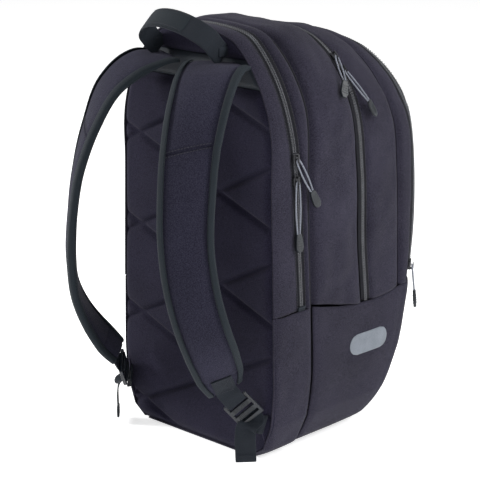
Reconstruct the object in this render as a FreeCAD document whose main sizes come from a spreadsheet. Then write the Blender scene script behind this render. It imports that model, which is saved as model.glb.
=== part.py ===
import FreeCAD
import Part
import math
import os
import Sketcher
from FreeCAD import Placement, Rotation, Vector

# Racket backpack, millimetres.  X is the width, with +X the wearer's left-hand side seen from
# the harness; -Y is the harness (back panel) side, +Y the front pocket, +Z up.  All outlines are
# drawn with y = 0 on the back panel; every sub-part's Placement then moves it back by
# origin_depth, so that the row's origin is the middle of the flat base.

os.makedirs("parts", exist_ok=True)
doc = FreeCAD.newDocument("racket_backpack")

# ---------------------------------------------------------------- driving dimensions
DIMENSIONS = [
    ("half_width", 130), ("origin_depth", 80),
    ("wall", 3), ("corner_radius", 30), ("body_gap", 0.5), ("tape_width", 8),
    ("pad_thickness", 8), ("sheet_thickness", 1.5), ("sleeve_thickness", 3), ("board_thickness", 2),
    ("yoke_seam_height", 472), ("quilt_top", 440), ("pocket_sill_height", 184),
    ("strap_edge", 3), ("webbing_width", 25), ("webbing_thickness", 2),
    ("lock_width", 33), ("lock_length", 34), ("lock_thickness", 4.5), ("lock_slot", 3.6),
    ("handle_width", 28), ("handle_thickness", 3), ("handle_reach", 61), ("handle_half_span", 54),
    ("handle_lean", 42), ("slider_width", 9), ("slider_length", 14),
    ("cord_diameter", 2), ("tip_width", 11), ("tip_length", 21), ("tip_thickness", 4),
    ("patch_length", 68), ("patch_height", 26),
]

sheet = doc.addObject("Spreadsheet::Sheet", "dims")
for row, (alias, value) in enumerate(DIMENSIONS, start=1):
    sheet.set("A%d" % row, alias)
    sheet.set("B%d" % row, str(value))
    sheet.setAlias("B%d" % row, alias)
doc.recompute()


def dim(alias):
    return float(sheet.get(alias))


SHIFT = Vector(0, -dim("origin_depth"), 0)
WALL = dim("wall")
GAP = dim("body_gap")
TAPE = dim("tape_width")
FAR = 600.0
subparts = []


# ---------------------------------------------------------------- general helpers
def keep(obj, label):
    obj.Label = label
    subparts.append(obj)
    return obj


def feature(label, shape):
    obj = doc.addObject("Part::Feature", label)
    obj.Shape = shape
    obj.Placement = Placement(SHIFT, Rotation()).multiply(shape.Placement)
    return keep(obj, label)


def unit(vector):
    return Vector(vector).normalize()


def plane_of(body, role):
    return [f for f in body.Origin.OriginFeatures if f.Role == role][0]


def sketch_on(body, role, name):
    sketch = body.newObject("Sketcher::SketchObject", name)
    sketch.AttachmentSupport = [(plane_of(body, role), "")]
    sketch.MapMode = "FlatFace"
    return sketch


def closed_outline(sketch, corners):
    points = [Vector(x, y, 0) for x, y in corners]
    for first, second in zip(points, points[1:] + points[:1]):
        sketch.addGeometry(Part.LineSegment(first, second), False)


def pad(body, sketch, name, length_expression, both_ways=False):
    result = body.newObject("PartDesign::Pad", name)
    result.Profile = sketch
    result.setExpression("Length", length_expression)
    result.Midplane = both_ways
    body.Tip = result
    return result


def prism_x(corners, half=FAR):
    """Solid of a (y, z) outline, carried along the whole width."""
    wire = Part.makePolygon([Vector(-half, y, z) for y, z in corners + corners[:1]])
    return Part.Face(wire).extrude(Vector(2 * half, 0, 0))


# ---------------------------------------------------------------- the bag's envelope
def plan_section(height, half, front, inset):
    """Rounded rectangle of the bag at one height: sharp at the back, rounded at the front."""
    w = half - inset
    y1 = front - inset
    r = dim("corner_radius") - inset
    k = r * (1 - math.sqrt(0.5))
    back = -20
    right = [Vector(w, back, height), Vector(w, y1 - r, height)]
    left = [Vector(-w, y1 - r, height), Vector(-w, back, height)]
    edges = [Part.makeLine(right[0], right[1])]
    edges.append(Part.Arc(right[1], Vector(w - k, y1 - k, height), Vector(w - r, y1, height)).toShape())
    edges.append(Part.makeLine(Vector(w - r, y1, height), Vector(-w + r, y1, height)))
    edges.append(Part.Arc(Vector(-w + r, y1, height), Vector(-w + k, y1 - k, height), left[0]).toShape())
    edges.append(Part.makeLine(left[0], left[1]))
    edges.append(Part.makeLine(left[1], right[0]))
    return Part.Wire(edges)


# height, half width, front face: the plan outline grows from the base and leans back at the top
PLAN = [(0, 92, 172), (14, 112, 200), (45, 124, 220), (95, 130, 238), (180, 130, 258),
        (262, 130, 266), (345, 130, 261), (420, 130, 245), (520, 130, 214)]

# depth, side at the springing (x, z), middle of the shoulder (x, z), end of the shoulder (x, z), crown
ARCHES = [(-30, (121, 340), (105, 438), (60, 489), 502), (28, (124, 350), (106, 446), (64, 496), 503),
          (55, (128, 365), (109, 455), (68, 496), 503), (140, (130, 360), (110, 436), (56, 482), 491),
          (212, (130, 335), (111, 418), (58, 464), 475), (280, (128, 300), (104, 402), (54, 440), 447)]


def arch_section(depth, spring, middle, shoulder, crown, inset):
    """Arch outline across the bag at one depth, from below the base up over the top."""
    foot = 132 - inset
    xs, zs = spring[0] - inset, spring[1]
    xm, zm = middle[0] - 0.8 * inset, middle[1] - 0.6 * inset
    xe, ze = shoulder[0] - 0.2 * inset, shoulder[1] - inset
    top = crown - inset
    low = -30

    def at(x, z):
        return Vector(x, depth, z)

    edges = [Part.makeLine(at(foot, low), at(xs, zs))]
    edges.append(Part.Arc(at(xs, zs), at(xm, zm), at(xe, ze)).toShape())
    edges.append(Part.Arc(at(xe, ze), at(0, top), at(-xe, ze)).toShape())
    edges.append(Part.Arc(at(-xe, ze), at(-xm, zm), at(-xs, zs)).toShape())
    edges.append(Part.makeLine(at(-xs, zs), at(-foot, low)))
    edges.append(Part.makeLine(at(-foot, low), at(foot, low)))
    return Part.Wire(edges)


def envelope(inset, floor):
    plan = []
    for height, half, front in PLAN:
        plan.append(plan_section(max(height, floor), half, front, inset))
    stack = Part.makeLoft(plan, True, True)
    arches = [arch_section(*arch, inset) for arch in ARCHES]
    return stack.common(Part.makeLoft(arches, True, True))


outer = envelope(0, 0)
inner = envelope(WALL, WALL)
behind = prism_x([(-FAR, -FAR), (0, -FAR), (0, FAR), (-FAR, FAR)])
outer = outer.cut(behind)
inner = inner.cut(behind)
shell = outer.cut(inner)


# ---------------------------------------------------------------- seam lines on the side, as (y, z)
TOP = 560
REAR_ZIP = [(45, 183), (40, 270), (35, 350), (28, 410), (28, TOP)]
DEEP_SEAM = [(55, -10), (65, 90), (64, 165), (58, 300), (56, 395), (52, 450), (52, TOP)]
MAIN_ZIP = [(161, 100), (159, 166), (152, 237), (150, 318), (146, 357), (140, 400), (140, TOP)]
POCKET_SEAM = [(226, 100), (222, 178), (216, 320), (209, 385), (203, 420), (200, TOP)]
POCKET_ZIP = [(246, 150), (247, 184), (251, 262), (248, 345), (236, 420), (232, TOP)]
BOOT_SEAM = [(64, 183), (84, 176), (110, 170), (144, 167), (168, 165.5), (192, 167), (217, 170), (300, 180)]
BAND_END = 181


def between(first, second, low=-FAR, high=FAR):
    """Prism between two seam lines; each line is (points, offset along y)."""
    near = [(y + first[1], z) for y, z in first[0]]
    far = [(y + second[1], z) for y, z in second[0]]
    solid = prism_x(near + far[::-1])
    if low > -FAR or high < FAR:
        solid = solid.common(prism_x([(-FAR, low), (FAR, low), (FAR, high), (-FAR, high)]))
    return solid


def straight(depth, low=-20, high=TOP):
    return [(depth, low), (depth, high)]


def above_boot(offset):
    line = [(y, z + offset) for y, z in BOOT_SEAM]
    return prism_x([(-20, BAND_END)] + line + [(300, TOP), (-20, TOP)])


def below_boot(offset):
    line = [(y, z + offset) for y, z in BOOT_SEAM]
    return prism_x([(-20, BAND_END)] + line + [(300, -20), (-20, -20)])


def slab(region):
    """Panel that fills the inside of the bag, such as a lining wall or a foam sheet."""
    return inner.common(region)


# ---------------------------------------------------------------- back panel and rear compartment
def flat_panel(label, depth_expression, thickness_expression, low, high, half_low, half_high):
    """Flat sheet across the back, tapered from half_low at its foot to half_high at its top."""
    body = doc.addObject("PartDesign::Body", label)
    sketch = sketch_on(body, "XZ_Plane", label + "_outline")
    closed_outline(sketch, [(-half_low, low), (half_low, low), (half_high, high), (-half_high, high)])
    pad(body, sketch, label + "_pad", thickness_expression)
    body.Placement = Placement(SHIFT, Rotation())
    body.setExpression(".Placement.Base.y", depth_expression)
    return keep(body, label)


def build_back():
    quilt = prism_x([(0, 5), (8, 5), (8, dim("quilt_top")), (0, dim("quilt_top"))])
    feature("back_panel_pad", slab(quilt))
    strip = prism_x([(0, dim("quilt_top")), (7, dim("quilt_top")),
                     (7, dim("yoke_seam_height")), (0, dim("yoke_seam_height"))])
    feature("yoke_strip", slab(strip))
    yoke = prism_x([(0, dim("yoke_seam_height")), (6, dim("yoke_seam_height")), (6, TOP), (0, TOP)])
    feature("upper_yoke", slab(yoke))
    # the pad extrudes towards -Y, so the panel's depth is that of its rear face
    flat_panel("frame_sheet", "dims.pad_thickness + dims.sheet_thickness + 0.5 - dims.origin_depth",
               "dims.sheet_thickness", 12, 430, 100, 98)
    flat_panel("laptop_sleeve", "22 + dims.sleeve_thickness - dims.origin_depth",
               "dims.sleeve_thickness", 20, 300, 108, 116)
    feature("rear_gusset", shell.common(between((straight(0), 0), (REAR_ZIP, -TAPE), BAND_END)))
    feature("rear_lower_gusset", shell.common(between((straight(0), 0), (DEEP_SEAM, 0), -20, BAND_END)))
    feature("rear_zip_tape_back", shell.common(between((REAR_ZIP, -TAPE), (REAR_ZIP, -0.2), BAND_END)))
    feature("rear_zip_tape_front", shell.common(between((REAR_ZIP, 0.2), (REAR_ZIP, TAPE), BAND_END)))
    feature("rear_band", shell.common(between((REAR_ZIP, TAPE), (DEEP_SEAM, 0), BAND_END)))
    feature("rear_divider", slab(between((DEEP_SEAM, -WALL), (DEEP_SEAM, 0), 6)))


# ---------------------------------------------------------------- main compartment and base
def build_main():
    fixed = above_boot(0)
    feature("main_gusset", shell.common(between((DEEP_SEAM, 0), (MAIN_ZIP, -TAPE))).common(fixed))
    feature("main_zip_tape_back",
            shell.common(between((MAIN_ZIP, -TAPE), (MAIN_ZIP, -GAP / 2))).common(fixed))
    lower = shell.common(below_boot(0)).common(between((DEEP_SEAM, 0), (straight(300), 0), 14, 200))
    side_cut = dim("half_width") - dim("corner_radius")
    right_half = Part.makeBox(FAR, FAR, FAR, Vector(side_cut, -100, -50))
    left_half = Part.makeBox(FAR, FAR, FAR, Vector(-side_cut - FAR, -100, -50))
    feature("boot_side_right", lower.common(right_half))
    feature("boot_side_left", lower.common(left_half))
    feature("boot_front", lower.cut(right_half).cut(left_half))
    feature("base_panel", shell.common(between((DEEP_SEAM, 0), (straight(300), 0), -20, 14)))
    board = doc.addObject("Part::Box", "base_board")
    board.Length = 170
    board.Width = 96
    board.setExpression("Height", "dims.board_thickness")
    board.Placement = Placement(Vector(-85, 66, WALL + 1.4) + SHIFT, Rotation())
    keep(board, "base_board")


# ---------------------------------------------------------------- front section (opens at the main zip)
def build_front():
    moving = above_boot(GAP)
    feature("main_zip_tape_front",
            shell.common(between((MAIN_ZIP, GAP / 2), (MAIN_ZIP, TAPE))).common(moving))
    feature("front_gusset", shell.common(between((MAIN_ZIP, TAPE), (POCKET_SEAM, 0))).common(moving))
    sill_top = dim("pocket_sill_height")
    edge = between((POCKET_SEAM, 0), (POCKET_ZIP, -GAP / 2 - TAPE), sill_top)
    feature("pocket_gusset", shell.common(edge))
    tape = between((POCKET_ZIP, -GAP / 2 - TAPE), (POCKET_ZIP, -GAP / 2), sill_top)
    feature("pocket_zip_tape", shell.common(tape))
    sill = shell.common(between((POCKET_SEAM, 0), (straight(300), 0), 150, sill_top)).common(moving)
    feature("pocket_sill", sill)
    wall = slab(between((POCKET_SEAM, 0), (POCKET_SEAM, 2), sill_top - 4))
    feature("pocket_inner_wall", wall)
    floor = slab(between((POCKET_SEAM, 2), (straight(300), 0), sill_top - 4, sill_top - 2))
    feature("pocket_floor", floor)
    cover = shell.common(between((POCKET_ZIP, GAP / 2), (straight(300), 0), sill_top + GAP))
    feature("pocket_cover", cover)


# ---------------------------------------------------------------- haul handle
def build_handle():
    body = doc.addObject("PartDesign::Body", "haul_handle")
    sketch = sketch_on(body, "XZ_Plane", "handle_outline")
    half, reach, thick = dim("handle_half_span"), dim("handle_reach"), dim("handle_thickness")
    start, spring = 20, 31

    def side(sign, width):
        return Vector(sign * width, start, 0), Vector(sign * width, spring, 0)

    right_low, right_high = side(1, half)
    left_low, left_high = side(-1, half)
    in_right_low, in_right_high = side(1, half - thick)
    in_left_low, in_left_high = side(-1, half - thick)
    for geometry in [Part.LineSegment(right_low, right_high),
                     Part.Arc(right_high, Vector(0, reach, 0), left_high),
                     Part.LineSegment(left_high, left_low),
                     Part.LineSegment(left_low, in_left_low),
                     Part.LineSegment(in_left_low, in_left_high),
                     Part.Arc(in_left_high, Vector(0, reach - thick, 0), in_right_high),
                     Part.LineSegment(in_right_high, in_right_low),
                     Part.LineSegment(in_right_low, right_low)]:
        sketch.addGeometry(geometry, False)
    pad(body, sketch, "handle_pad", "dims.handle_width", True)
    pivot = Vector(0, -6, dim("yoke_seam_height"))
    body.Placement = Placement(pivot + SHIFT, Rotation(Vector(1, 0, 0), dim("handle_lean")))
    keep(body, "haul_handle")
    tabs = []
    for sign in (-1, 1):
        x0 = sign * half if sign < 0 else half - thick
        tabs.append(Part.makeBox(thick, 15, 11, Vector(x0, -15.3, 477)))
    feature("handle_anchors", Part.makeCompound(tabs))


# ---------------------------------------------------------------- shoulder straps
# centre of the strap, direction across it, its width: from the seam under the handle to the lock
STRAP_RIGHT = [((46, -3, 464), (1, 0, 0), 84, 7), ((52, -20, 463), (1, .1, 0), 82, 9),
               ((61, -40, 455), (.97, .25, 0), 79, 12),
               ((72, -62, 436), (.93, .38, 0), 74, 12), ((82, -87, 388), (.85, .53, 0), 67, 12),
               ((90, -102, 334), (.78, .63, 0), 64, 12), ((95, -108, 280), (.76, .65, .03), 62, 12),
               ((102, -105, 226), (.76, .65, .08), 62, 12), ((107, -95, 184), (.76, .62, .2), 62, 12),
               ((106, -80, 152), (.72, .58, .36), 61, 12), ((99, -60, 120), (.64, .55, .54), 56, 11),
               ((91, -44, 99), (.54, .55, .64), 44, 9)]
LOCK_CENTRE = Vector(102.6, -25, 71)
LOCK_ACROSS = unit(Vector(.52, .55, .65))
LOCK_ALONG = unit(Vector(.36, .55, -.75))
LOCK_FACE = LOCK_ACROSS.cross(LOCK_ALONG).negative()


def mirrored(vector, side):
    return Vector(side * vector[0], vector[1], vector[2])


def strap_frames(side):
    """Centre, across and outward directions, width and thickness at each station."""
    centres = [mirrored(Vector(*row[0]), side) for row in STRAP_RIGHT]
    frames = []
    for i, (centre, across, width, thick) in enumerate(STRAP_RIGHT):
        after = centres[min(i + 1, len(centres) - 1)]
        before = centres[max(i - 1, 0)]
        along = unit(after - before) if i else Vector(0, -1, 0)
        a = unit(mirrored(across, side))
        a = unit(a - along * a.dot(along))
        outward = along.cross(a) * (-side)
        frames.append((centres[i], a, outward, width, thick))
    return frames


def strip(frames, lateral, width_of, lift, thickness_of):
    """Loft of rectangles: lateral and lift place the strip's middle relative to the strap's."""
    wires = []
    for frame in frames:
        centre, a, outward, width, thick = frame
        middle = centre + a * lateral(frame) + outward * lift(frame)
        half_a = a * (width_of(frame) / 2)
        half_o = outward * (thickness_of(frame) / 2)
        corners = [middle - half_a - half_o, middle + half_a - half_o,
                   middle + half_a + half_o, middle - half_a + half_o]
        wires.append(Part.makePolygon(corners + corners[:1]))
    return Part.makeLoft(wires, True, True)


def side_name(side):
    return "right" if side > 0 else "left"


def build_strap(side):
    name = side_name(side)
    edge = dim("strap_edge")
    frames = strap_frames(side)
    core = strip(frames, lambda f: 0, lambda f: f[3] - 2 * edge, lambda f: 0, lambda f: f[4])
    feature("strap_pad_" + name, core)
    bindings = []
    for hand in (-1, 1):
        bindings.append(strip(frames, lambda f: hand * (f[3] - edge) / 2, lambda f: edge,
                              lambda f: 0, lambda f: 0.6 * f[4]))
    feature("strap_binding_" + name, Part.makeCompound(bindings))
    web, thin = dim("webbing_width"), dim("webbing_thickness")
    lock_end = mirrored(LOCK_CENTRE - LOCK_ALONG * (dim("lock_length") / 2 + 1.8) - LOCK_FACE * 1.2, side)
    frames.append((lock_end, mirrored(LOCK_ACROSS, side), mirrored(LOCK_FACE, side), web, 0))
    feature("strap_webbing_" + name,
            strip(frames[-5:], lambda f: 0, lambda f: web, lambda f: f[4] / 2 + thin / 2 + 0.2, lambda f: thin))


def lock_frame(side):
    """Placement whose X is across the lock, Y along it towards the base and Z out of its face."""
    x = mirrored(LOCK_ACROSS, side) * side
    y = mirrored(LOCK_ALONG, side)
    z = x.cross(y)
    rotation = Rotation(x, y, z, "ZXY")
    return Placement(mirrored(LOCK_CENTRE, side) + SHIFT, rotation)


def build_lock(side):
    name = side_name(side)
    body = doc.addObject("PartDesign::Body", "ladder_lock_" + name)
    sketch = sketch_on(body, "XY_Plane", "lock_outline_" + name)
    half_w, half_l = dim("lock_width") / 2, dim("lock_length") / 2
    closed_outline(sketch, [(-half_w, -half_l), (half_w, -half_l), (half_w, half_l), (-half_w, half_l)])
    plate = pad(body, sketch, "lock_plate_" + name, "dims.lock_thickness", True)
    doc.recompute()
    solid_volume = plate.Shape.Volume
    slots = sketch_on(body, "XY_Plane", "lock_slots_" + name)
    half_slot, half_web = dim("lock_slot") / 2, dim("webbing_width") / 2 + 0.6
    for middle in (-10, 0, 10):
        closed_outline(slots, [(-half_web, middle - half_slot), (half_web, middle - half_slot),
                               (half_web, middle + half_slot), (-half_web, middle + half_slot)])
    cut = body.newObject("PartDesign::Pocket", "lock_cut_" + name)
    cut.Profile = slots
    cut.Type = 1
    cut.Midplane = True
    body.Tip = cut
    doc.recompute()
    if cut.Shape.Volume > 0.9 * solid_volume:
        raise RuntimeError("the lock's slots cut nothing")
    body.Placement = lock_frame(side)
    keep(body, "ladder_lock_" + name)


def build_webbing(side):
    """Short webbing from the lock to the wing, the free tail below it, and the fabric wing."""
    name = side_name(side)
    web, thin = dim("webbing_width"), dim("webbing_thickness")
    frame = lock_frame(side)
    run = Part.makeBox(web, 4.5, thin, Vector(-web / 2, dim("lock_length") / 2 + 0.6, -thin / 2))
    run.Placement = Placement(frame.Base - SHIFT, frame.Rotation)
    feature("anchor_webbing_" + name, run)
    across = unit(Vector(side * .72, .695, 0))
    out = unit(Vector(side * .695, -.72, 0))
    top = Vector(side * 109, -28, 50)
    low = Vector(side * 110, -28, 8)
    half = across * (web / 2)
    face = Part.Face(Part.makePolygon([top - half, top + half, low + half, low - half, top - half]))
    feature("webbing_tail_" + name, face.extrude(out * thin))
    corners = [Vector(side * 124, -1, 100), Vector(side * 116, -1, 30), Vector(side * 115, -4, 50)]
    triangle = Part.Face(Part.makePolygon(corners + corners[:1]))
    feature("strap_wing_" + name, triangle.extrude(Vector(0, -2, 0)))


# ---------------------------------------------------------------- zip sliders and their pulls
# the point the cord turns about, the way it hangs, the way its tip hangs, the way out of the fabric,
# the way the zip runs, and which route the cord follows
PULLS = [
    ("rear_lower", (129.4, 35.6, 335), (.03, 0, -1), (.03, .08, -1), (.99, -.13, .02), (.017, .054, -1), "long"),
    ("rear_upper", (130.9, 33.2, 361), (.09, .53, -1), (.09, .5, -1), (.99, -.11, 0), (.017, .054, -1), "medium"),
    ("main_front", (107, 140.4, 446), (.56, .31, -.77), (.12, .5, -.86), (.79, .12, .60), (.61, 0, -.79),
     "medium"),
    ("main_back", (93.1, 140.4, 461.4), (.71, -.48, -.51), (.38, -.5, -.75), (.68, .13, .72), (.73, 0, -.69),
     "medium"),
    ("pocket", (128.8, 247.8, 193), (.12, .02, -1), (.1, 0, -1), (.81, .58, -.05), (.026, .056, 1), "short"),
]
# half of each loop, from the tip up one leg: distance from the loop's middle line, height above the tip
LOOPS = {
    "short": [(-1.5, 0), (-2.6, 7.5), (-3.2, 15.5), (-3.0, 22.5), (-2.6, 28.5), (-1.6, 33)],
    "medium": [(-1.5, 0), (-2.7, 9), (-3.3, 19), (-3.2, 28), (-2.9, 36), (-2.4, 41), (-1.6, 44.5)],
    "long": [(-1.5, 0), (-2.7, 11), (-3.4, 23), (-3.5, 34.5), (-3.2, 45), (-2.8, 52.5), (-2.3, 57.5),
             (-1.6, 60.8)],
}


def rounded_path(points):
    """Straight runs joined by tangent arcs, each arc as large as its shorter run allows."""
    edges = []
    radii = []
    start = points[0]
    for before, corner, after in zip(points, points[1:], points[2:]):
        way_in = unit(corner - before)
        way_out = unit(after - corner)
        turn = way_in.getAngle(way_out)
        tangent = 0.45 * min((corner - before).Length, (after - corner).Length)
        radius = tangent / math.tan(turn / 2)
        radii.append(radius)
        first = corner - way_in * tangent
        last = corner + way_out * tangent
        inward = unit(way_out - way_in)
        middle = corner + inward * (radius / math.cos(turn / 2) - radius)
        edges.append(Part.makeLine(start, first))
        edges.append(Part.Arc(first, middle, last).toShape())
        start = last
    edges.append(Part.makeLine(start, points[-1]))
    return Part.Wire(edges), radii


def tube(points, diameter, name):
    path, radii = rounded_path(points)
    axis = points[1] - points[0]
    circle = Part.Wire(Part.Circle(points[0], axis, diameter / 2).toShape())
    solid = path.makePipeShell([circle], True, True)
    expected = math.pi * diameter ** 2 / 4 * path.Length
    print(name, "length %.1f" % path.Length, "radii", [round(r, 1) for r in radii],
          "volume ratio %.4f" % (solid.Volume / expected))
    return solid


def pull_axes(hang, out):
    down = unit(Vector(*hang))
    normal = Vector(*out)
    normal = unit(normal - down * normal.dot(down))
    across = down.cross(normal)
    return down, normal, across


def build_slider(name, ring, out, run):
    """Body of the slider over the teeth, with the bridge that the cord turns about."""
    along = unit(Vector(*run))
    normal = Vector(*out)
    normal = unit(normal - along * normal.dot(along))
    across = along.cross(normal)
    rotation = Rotation(across, along, normal, "ZXY")
    width, length = dim("slider_width"), dim("slider_length")
    thick, room, post = 1.6, 1.3, 1.5
    body = Part.makeBox(width, length, thick, Vector(-width / 2, -length / 2, -room - thick))
    stem = Part.makeBox(post, 2, 2 * room, Vector(-post / 2, -6.5, -room))
    bar = Part.makeBox(post, 7.4, 1, Vector(-post / 2, -6.5, room))
    solid = body.fuse(stem).fuse(bar).removeSplitter()
    solid.Placement = Placement(Vector(*ring), rotation)
    feature(name + "_slider", solid)


def build_pull(name, ring, hang, tip_hang, out, loop):
    """Cord loop that hangs from the slider's bridge, and the moulded tip on its two ends."""
    down, normal, across = pull_axes(hang, out)
    leg = LOOPS[loop]
    route = leg + [(-s, rise) for s, rise in reversed(leg)]
    origin = Vector(*ring) + down * leg[-1][1]
    points = [origin + across * s - down * rise for s, rise in route]
    feature(name + "_pull_cord", tube(points, dim("cord_diameter"), name))
    tip_down, tip_normal, tip_across = pull_axes(tip_hang, out)
    width, length, thick = dim("tip_width"), dim("tip_length"), dim("tip_thickness")
    shoulder = 0.7 * width
    corners = [(-shoulder / 2, 0), (shoulder / 2, 0), (width / 2, 0.75 * length), (width / 4, length),
               (-width / 4, length), (-width / 2, 0.75 * length)]
    start = origin + down * 0.8
    outline = [start + tip_across * s + tip_down * fall - tip_normal * (thick / 2) for s, fall in corners]
    solid = Part.Face(Part.makePolygon(outline + outline[:1])).extrude(tip_normal * thick)
    feature(name + "_pull_tip", solid)


def build_patches():
    """Plain reflective pill on each side of the lower boot."""
    length, height = dim("patch_length"), dim("patch_height")
    corner = Vector(-FAR, 163 - (length - height) / 2, 115 - height / 2)
    box = Part.makeBox(2 * FAR, length - height, height, corner)
    ends = [Part.makeCylinder(height / 2, 2 * FAR, Vector(-FAR, 163 + sign * (length - height) / 2, 115),
                              Vector(1, 0, 0)) for sign in (-1, 1)]
    outline = box.fuse(ends)
    grown = envelope(-0.6, 0)
    feature("reflective_patches", grown.cut(outer).common(outline))


build_back()
build_main()
build_front()
build_handle()
for hand in (-1, 1):
    build_strap(hand)
    build_lock(hand)
    build_webbing(hand)
for pull_name, ring, hang, tip_hang, out, run, loop in PULLS:
    build_slider(pull_name, ring, out, run)
    build_pull(pull_name, ring, hang, tip_hang, out, loop)
build_patches()

# ---------------------------------------------------------------- checks and export
doc.recompute()
for obj in doc.Objects:
    if "Invalid" in obj.State or "Error" in obj.State:
        raise RuntimeError("failed object " + obj.Name)
for obj in subparts:
    shape = obj.Shape
    if shape.isNull() or not shape.isValid() or shape.Volume <= 0:
        raise RuntimeError("bad shape " + obj.Label)
    print("%-24s solids %d volume %.0f" % (obj.Label, len(shape.Solids), shape.Volume))
    shape.exportStep(os.path.join("parts", obj.Label + ".step"))
print(len(subparts), "sub-parts")
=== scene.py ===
import math

import bmesh
import bpy
import numpy as np
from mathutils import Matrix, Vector, noise


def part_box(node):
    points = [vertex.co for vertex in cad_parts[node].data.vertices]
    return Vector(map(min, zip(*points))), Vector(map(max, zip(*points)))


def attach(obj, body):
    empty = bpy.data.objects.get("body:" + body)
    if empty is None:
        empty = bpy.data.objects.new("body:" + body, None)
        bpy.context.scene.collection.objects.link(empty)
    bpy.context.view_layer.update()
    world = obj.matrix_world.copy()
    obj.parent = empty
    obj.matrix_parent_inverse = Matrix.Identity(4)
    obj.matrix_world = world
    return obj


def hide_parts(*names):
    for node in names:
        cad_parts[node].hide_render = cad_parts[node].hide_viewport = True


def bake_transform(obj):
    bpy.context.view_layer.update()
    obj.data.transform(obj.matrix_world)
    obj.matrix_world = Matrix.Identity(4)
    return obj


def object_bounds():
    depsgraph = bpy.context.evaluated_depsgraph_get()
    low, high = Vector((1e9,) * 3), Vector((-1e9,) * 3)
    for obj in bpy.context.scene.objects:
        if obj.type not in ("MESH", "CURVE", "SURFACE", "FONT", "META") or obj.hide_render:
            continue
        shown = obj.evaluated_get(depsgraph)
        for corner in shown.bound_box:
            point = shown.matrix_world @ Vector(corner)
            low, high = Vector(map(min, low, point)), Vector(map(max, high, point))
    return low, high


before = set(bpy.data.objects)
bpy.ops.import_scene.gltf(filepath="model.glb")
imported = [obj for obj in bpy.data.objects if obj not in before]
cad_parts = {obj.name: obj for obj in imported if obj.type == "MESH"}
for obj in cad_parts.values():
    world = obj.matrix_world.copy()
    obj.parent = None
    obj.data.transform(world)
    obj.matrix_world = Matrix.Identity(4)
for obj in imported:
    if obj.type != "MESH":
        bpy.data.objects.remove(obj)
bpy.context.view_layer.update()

MM = 0.001
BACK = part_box("back_panel_pad")[0][1]          # y of the back panel's outer face, in metres


# ------------------------------------------------------------------ materials
def new_material(name):
    material = bpy.data.materials.new(name)
    material.use_nodes = True
    nodes = material.node_tree.nodes
    links = material.node_tree.links
    return material, nodes, links, nodes["Principled BSDF"]


def ramp_between(nodes, links, factor, dark, light, low=0.3, high=0.7):
    ramp = nodes.new("ShaderNodeValToRGB")
    ramp.color_ramp.elements[0].position = low
    ramp.color_ramp.elements[0].color = (*dark, 1)
    ramp.color_ramp.elements[1].position = high
    ramp.color_ramp.elements[1].color = (*light, 1)
    links.new(factor, ramp.inputs["Fac"])
    return ramp.outputs["Color"]


def noise_node(nodes, links, coords, scale, detail=2.0, rough=0.5):
    node = nodes.new("ShaderNodeTexNoise")
    node.inputs["Scale"].default_value = scale
    node.inputs["Detail"].default_value = detail
    node.inputs["Roughness"].default_value = rough
    links.new(coords, node.inputs["Vector"])
    return node.outputs["Fac"]


def wave_node(nodes, links, coords, scale, direction, distortion=0.0):
    node = nodes.new("ShaderNodeTexWave")
    node.bands_direction = direction
    node.inputs["Scale"].default_value = scale
    node.inputs["Distortion"].default_value = distortion
    links.new(coords, node.inputs["Vector"])
    return node.outputs["Fac"]


def math_node(nodes, links, operation, first, second):
    node = nodes.new("ShaderNodeMath")
    node.operation = operation
    for socket, value in zip(node.inputs, (first, second)):
        if isinstance(value, (int, float)):
            socket.default_value = value
        else:
            links.new(value, socket)
    return node.outputs[0]


def add_bump(nodes, links, shader, height, strength, distance):
    node = nodes.new("ShaderNodeBump")
    node.inputs["Strength"].default_value = strength
    node.inputs["Distance"].default_value = distance
    links.new(height, node.inputs["Height"])
    links.new(node.outputs["Normal"], shader.inputs["Normal"])


def woven(name, dark, light, thread=1400.0, speckle=900.0, bump=0.25, rough=0.85, sheen=0.25, wear=0.5):
    """Plain-weave cloth: fine threads both ways in UV metres, a heathered speckle and soft large patches."""
    material, nodes, links, shader = new_material(name)
    uv = nodes.new("ShaderNodeUVMap").outputs["UV"]
    solid = nodes.new("ShaderNodeTexCoord").outputs["Object"]
    warp = wave_node(nodes, links, uv, thread, "X", 0.6)
    weft = wave_node(nodes, links, uv, thread, "Y", 0.6)
    weave = math_node(nodes, links, "MAXIMUM", warp, weft)
    fleck = noise_node(nodes, links, solid, speckle, 2.0, 0.7)
    patch = noise_node(nodes, links, solid, 9.0, 3.0, 0.55)
    mixed = math_node(nodes, links, "MULTIPLY", fleck, 0.62)
    mixed = math_node(nodes, links, "ADD", mixed, math_node(nodes, links, "MULTIPLY", patch, 0.38 * wear))
    mixed = math_node(nodes, links, "ADD", mixed, math_node(nodes, links, "MULTIPLY", weave, 0.10))
    links.new(ramp_between(nodes, links, mixed, dark, light, 0.38, 0.60), shader.inputs["Base Color"])
    height = math_node(nodes, links, "ADD", math_node(nodes, links, "MULTIPLY", fleck, 0.7), weave)
    add_bump(nodes, links, shader, height, bump, 0.0006)
    roughness = math_node(nodes, links, "ADD", math_node(nodes, links, "MULTIPLY", patch, 0.12), rough - 0.08)
    links.new(roughness, shader.inputs["Roughness"])
    shader.inputs["Sheen Weight"].default_value = sheen
    shader.inputs["Sheen Roughness"].default_value = 0.5
    shader.inputs["Specular IOR Level"].default_value = 0.08
    return material


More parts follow.
